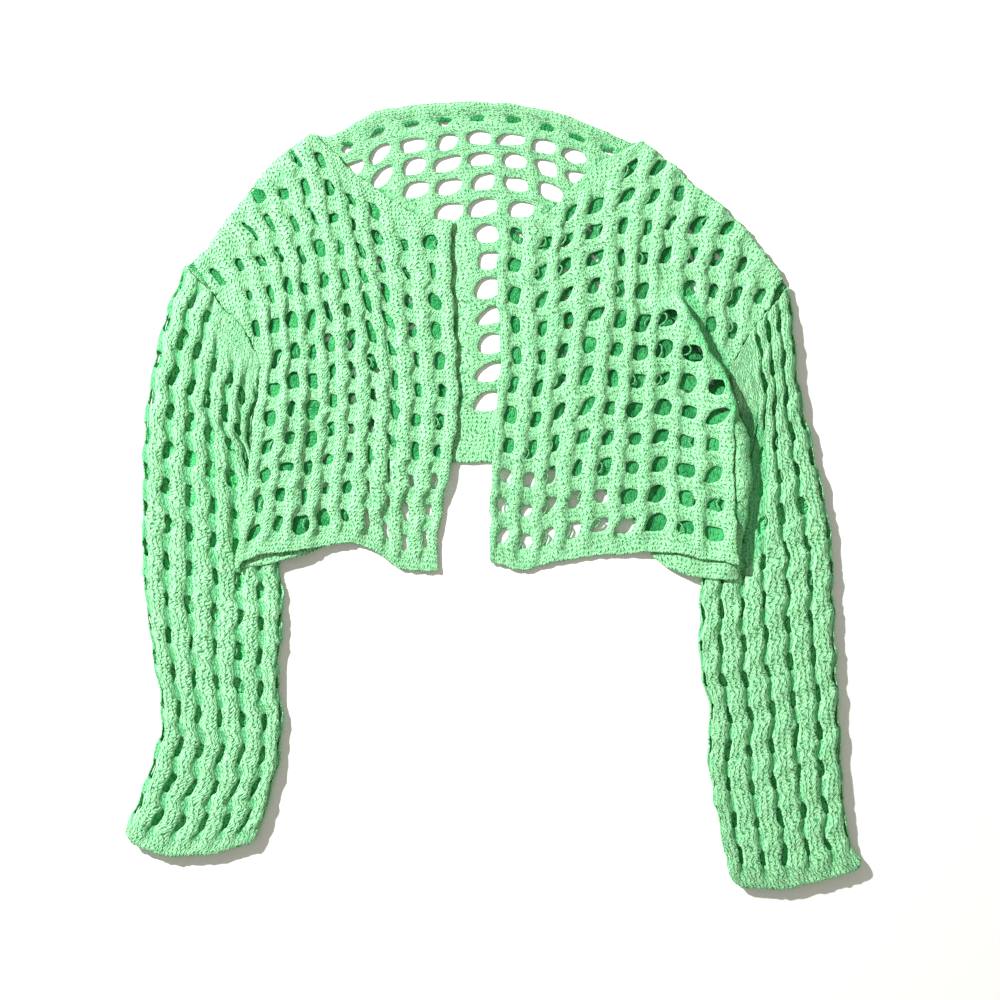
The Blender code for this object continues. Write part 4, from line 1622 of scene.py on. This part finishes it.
class Sleeve(KnitPiece):
    """A sleeve: a flattened tube whose net runs all round it."""

    FLATNESS = 0.07
    SECTION_STEPS = 6
    FOLD_SHIFT = -0.25
    CAP_FROM = {Side.RIGHT: 0.45, Side.LEFT: 0.55}
    CAP_TO = {Side.RIGHT: 0.09, Side.LEFT: 0.13}
    WIDE_SHARE = 0.42
    WIDER = 1.6
    HIDDEN_HOLE = (0.35, 0.4)
    AWAY_FROM_BODY = {Side.RIGHT: (-0.8, -0.6), Side.LEFT: (0.8, -0.6)}
    AWAY_SHARE = 0.25
    VALLEY_DEPTH = 0.9
    WALL_MIDDLE = 0.65
    WALL_ROOM = 2.5
    WALL_LOSS = 1.2
    LOWER_SAG = 0.8
    SEAM_REACH = 0.8
    curl_share = 0.25
    # The bars get all of the sunken colour, a painted shade.
    sunken = 1.0
    # The copy of the yarn whose lower layer is painted brighter, as painted light.
    finish_and_shade = MINT_TUBE_PAINTED_LIGHT

    def __init__(self, side: Side, layering: Layering) -> None:
        """Set out a sleeve's net."""
        right = side is Side.RIGHT
        net = Net(
            columns=13,
            rows=15,
            hole_width=0.28 if right else 0.22,
            hole_height=0.46 if right else 0.5,
            zigzag=-0.05 if right else -0.03,
            wales=6.0,
            courses=8.0,
            seed=31 if right else 32,
            low=Border(0.1, 1),
            high=Border(0.45, 3),
            groove=0.25 if right else 0.12,
        )
        name = f"{side.value}_sleeve"
        super().__init__(f"{name}_knit", name, Plan.sleeve(side), net, layering)
        self.side = side
        self.rib_height = 3.2 if right else 3.8
        self.close_plain_zones()

    def close_plain_zones(self) -> None:
        """Leave the cap below the armhole without holes, and fit those of the two layers."""
        across, along = self.net.centres()
        turn, down = (share.reshape(across.shape) for share in self.shares(across.ravel(), along.ravel()))
        share, up = self.round_tube(turn)
        upper, lower = up > 0.5, up < 0.5
        self.net.open &= ~(upper & (share > self.CAP_FROM[self.side]) & (down < self.CAP_TO[self.side]))
        self.net.widths[upper & (down < self.WIDE_SHARE)] *= self.WIDER
        self.net.widths[lower] *= self.HIDDEN_HOLE[0]
        self.net.heights[lower] *= self.HIDDEN_HOLE[1]

    def shares(self, across: np.ndarray, along: np.ndarray) -> tuple[np.ndarray, np.ndarray]:
        """Turn places in cells into shares round the tube and down it.

        The fold lies a quarter of a column to the side, so that the holes of the two layers don't line up.

        Args:
            across: places across, in cells.
            along: places along, in cells.

        Returns:
            Shares of the way round, and from the armhole to the cuff.
        """
        rows = self.net.rows + self.net.low.cells + self.net.high.cells
        return (across + self.FOLD_SHIFT) / self.net.columns, (along + self.net.low.cells) / rows

    def limit(self, u: np.ndarray, v: np.ndarray) -> tuple[np.ndarray, np.ndarray, np.ndarray]:
        """Hold shares on the tube, which has no end across."""
        return u, np.clip(v, 0, 1), np.zeros(len(u), dtype=bool)

    def round_tube(self, turn: np.ndarray) -> tuple[np.ndarray, np.ndarray]:
        """The flattened tube's section.

        Args:
            turn: shares of the way round, from the outer edge over the top.

        Returns:
            The share across and the share of the height.
        """
        ratio = self.FLATNESS
        quarter = np.linspace(0.0, np.pi / 2, self.SECTION_STEPS)
        rise = (ratio / 2 * (1 - np.cos(quarter)), 0.5 + 0.5 * np.sin(quarter))
        across = np.concatenate([rise[0], 1 - rise[0][::-1], 1 - rise[0], rise[0][::-1]])
        up = np.concatenate([rise[1], rise[1][::-1], 1 - rise[1], 1 - rise[1][::-1]])
        steps = np.hypot(np.diff(across), np.diff(up) * ratio)
        length = np.concatenate([[0.0], np.cumsum(steps)])
        turn = np.mod(turn, 1.0)
        return np.interp(turn, length / length[-1], across), np.interp(turn, length / length[-1], up)

    def surface(self, u: np.ndarray, v: np.ndarray, rib: np.ndarray) -> np.ndarray:
        """Points of the tube's middle surface.

        Args:
            u: shares round the tube.
            v: shares from the armhole to the cuff.
            rib: how much of a rib each place is.

        Returns:
            x, y, z in millimetres.
        """
        share, up = self.round_tube(u)
        gap = self.layering.seam_gap * (1 - smooth(v / self.AWAY_SHARE))
        x, y = (self.patch.at(share, v) + gap[:, None] * self.AWAY_FROM_BODY[self.side]).T
        height = self.layering.sleeve_top(x, y, v)
        wall = self.layering.wall
        rib = rib * (1 - self.VALLEY_DEPTH * self.shade(x, y))
        room = np.maximum(height - self.WALL_ROOM * wall, 0)
        sag = self.LOWER_SAG * room * np.sin(np.pi * np.clip(share, 0, 1)) * (1 - up) ** 2
        low = self.WALL_MIDDLE * wall + sag
        z = low + up * (height - self.WALL_LOSS * wall) + self.rib_height * rib * up**2
        return np.stack([x, y, z], axis=1)

    def shade(self, x: np.ndarray, y: np.ndarray) -> np.ndarray:
        """How deep each place lies in the valley beside the body's raised left side; it lowers the ribs
        there and weights the painted shade.
        """
        if self.side is Side.RIGHT:
            return super().shade(x, y)
        return self.layering.valley(self.layering.past_body(x, y)) * self.layering.beside_body(y)

    def cover(self, points: np.ndarray, u: np.ndarray, v: np.ndarray) -> np.ndarray:
        """How far each place lies on the sleeve's lower layer, where the material paints shade and the light
        that passes between the stitches.
        """
        return 1 - smooth(self.round_tube(u)[1] / 0.5)

    def open_cells(self) -> tuple[np.ndarray, np.ndarray]:
        """The columns and rows of the open cells on the upper layer."""
        i, j = np.nonzero(self.net.open)
        upper = (i > 0) & (i < self.net.columns // 2)
        return i[upper], j[upper]

    def close_seam(self, mesh: bpy.types.Mesh) -> None:
        """Close the tube along its outer edge."""
        bm = bmesh.new()
        bm.from_mesh(mesh)
        edge = [vertex for vertex in bm.verts if vertex.is_boundary]
        bmesh.ops.remove_doubles(bm, verts=edge, dist=self.SEAM_REACH * MM)
        to_mesh(bm, mesh)

    def cut(self) -> tuple[tuple[float, float], float]:
        """The size of the sleeve's cut all round the tube, and its area with the holes."""
        (width, length), area = self.patch.flat_size()
        return (2 * width, length), 2 * area


@dataclass
class Studio:
    """A pale floor, one hard light from the upper left, soft fill and a camera straight above.

    Sizes and places are in metres, the lens and its sensor in millimetres, and the elevation in degrees.
    """

    floor_size: float = 6.0
    floor_depth: float = 0.0008
    floor_colour: tuple[float, float, float] = (0.97, 0.97, 0.97)
    floor_roughness: float = 0.9
    lamp_side: tuple[float, float, float] = (-12.0, 10.0, 0.0)
    lamp_elevation: float = 32.0
    lamp_distance: float = 3.6
    lamp_irradiance: float = 6.1
    lamp_radius: float = 0.07
    fill: float = 0.4
    fill_colour: tuple[float, float, float] = (1.0, 0.96, 0.84)
    focal_length: float = 85.0
    sensor_width: float = 36.0
    farthest: float = 50.0
    frame_width: float = 1.0
    centre: tuple[float, float] = (0.0065, -0.005)

    def build(self) -> None:
        """Set the floor, lights and camera."""
        self.lay_floor()
        self.hang_lights()
        self.set_camera()

    def lay_floor(self) -> None:
        """Lay the floor."""
        bm = bmesh.new()
        bmesh.ops.create_grid(bm, x_segments=1, y_segments=1, size=self.floor_size / 2)
        bmesh.ops.translate(bm, vec=(0, 0, -self.floor_depth), verts=bm.verts)
        mesh = to_mesh(bm, bpy.data.meshes.new("floor"))
        material = bpy.data.materials.new("pale_floor")
        material.use_nodes = True
        shader = material.node_tree.nodes["Principled BSDF"]
        shader.inputs["Base Color"].default_value = (*self.floor_colour, 1)
        shader.inputs["Roughness"].default_value = self.floor_roughness
        mesh.materials.append(material)
        linked("floor", mesh)

    def hang_lights(self) -> None:
        """Hang the key light and set the fill."""
        light = bpy.data.lights.new("key", "POINT")
        light.energy = self.lamp_irradiance * 4 * math.pi * self.lamp_distance**2
        light.shadow_soft_size = self.lamp_radius
        elevation = math.radians(self.lamp_elevation)
        away = Vector(self.lamp_side).normalized() * math.cos(elevation)
        away.z = math.sin(elevation)
        linked("key", light).location = away * self.lamp_distance
        world = bpy.data.worlds.new("studio")
        world.use_nodes = True
        sky = world.node_tree.nodes["Background"]
        sky.inputs["Color"].default_value = (*self.fill_colour, 1)
        sky.inputs["Strength"].default_value = self.fill
        bpy.context.scene.world = world
        bpy.context.scene.view_settings.view_transform = "Standard"

    def set_camera(self) -> None:
        """Hang the camera straight above the garment, with the neck at the top of the frame."""
        data = bpy.data.cameras.new("camera")
        data.lens = self.focal_length
        data.sensor_width = self.sensor_width
        data.clip_end = self.farthest
        camera = linked("camera", data)
        camera.location = (*self.centre, self.frame_width * self.focal_length / self.sensor_width)
        bpy.context.scene.camera = camera


def main() -> None:
    """Build the pieces in order and tie them to the frame."""
    logging.basicConfig(level=logging.INFO, format="%(message)s")
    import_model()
    layering = Layering()
    pieces = [
        (Sleeve(Side.RIGHT, layering), []),
        (Sleeve(Side.LEFT, layering), []),
        (Back(layering), ["right_sleeve_knit", "left_sleeve_knit"]),
        (Front(Side.RIGHT, layering), ["back_knit"]),
        (Front(Side.LEFT, layering), ["back_knit"]),
    ]
    for piece, rests_on in pieces:
        made = piece.build()
        piece.dress("laid", rests_on)
        triangles = sum(len(face.vertices) - 2 for face in made.data.polygons)
        (width, length), area = piece.cut()
        LOG.info(
            "%s: %d triangles, %d holes, cut %.3f by %.3f m, %.4f square metres, %.4f of it knit",
            made.name, triangles, int(piece.net.open.sum()), width, length, area, piece.knit_area,
        )
    Studio().build()


if __name__ == "__main__":
    main()
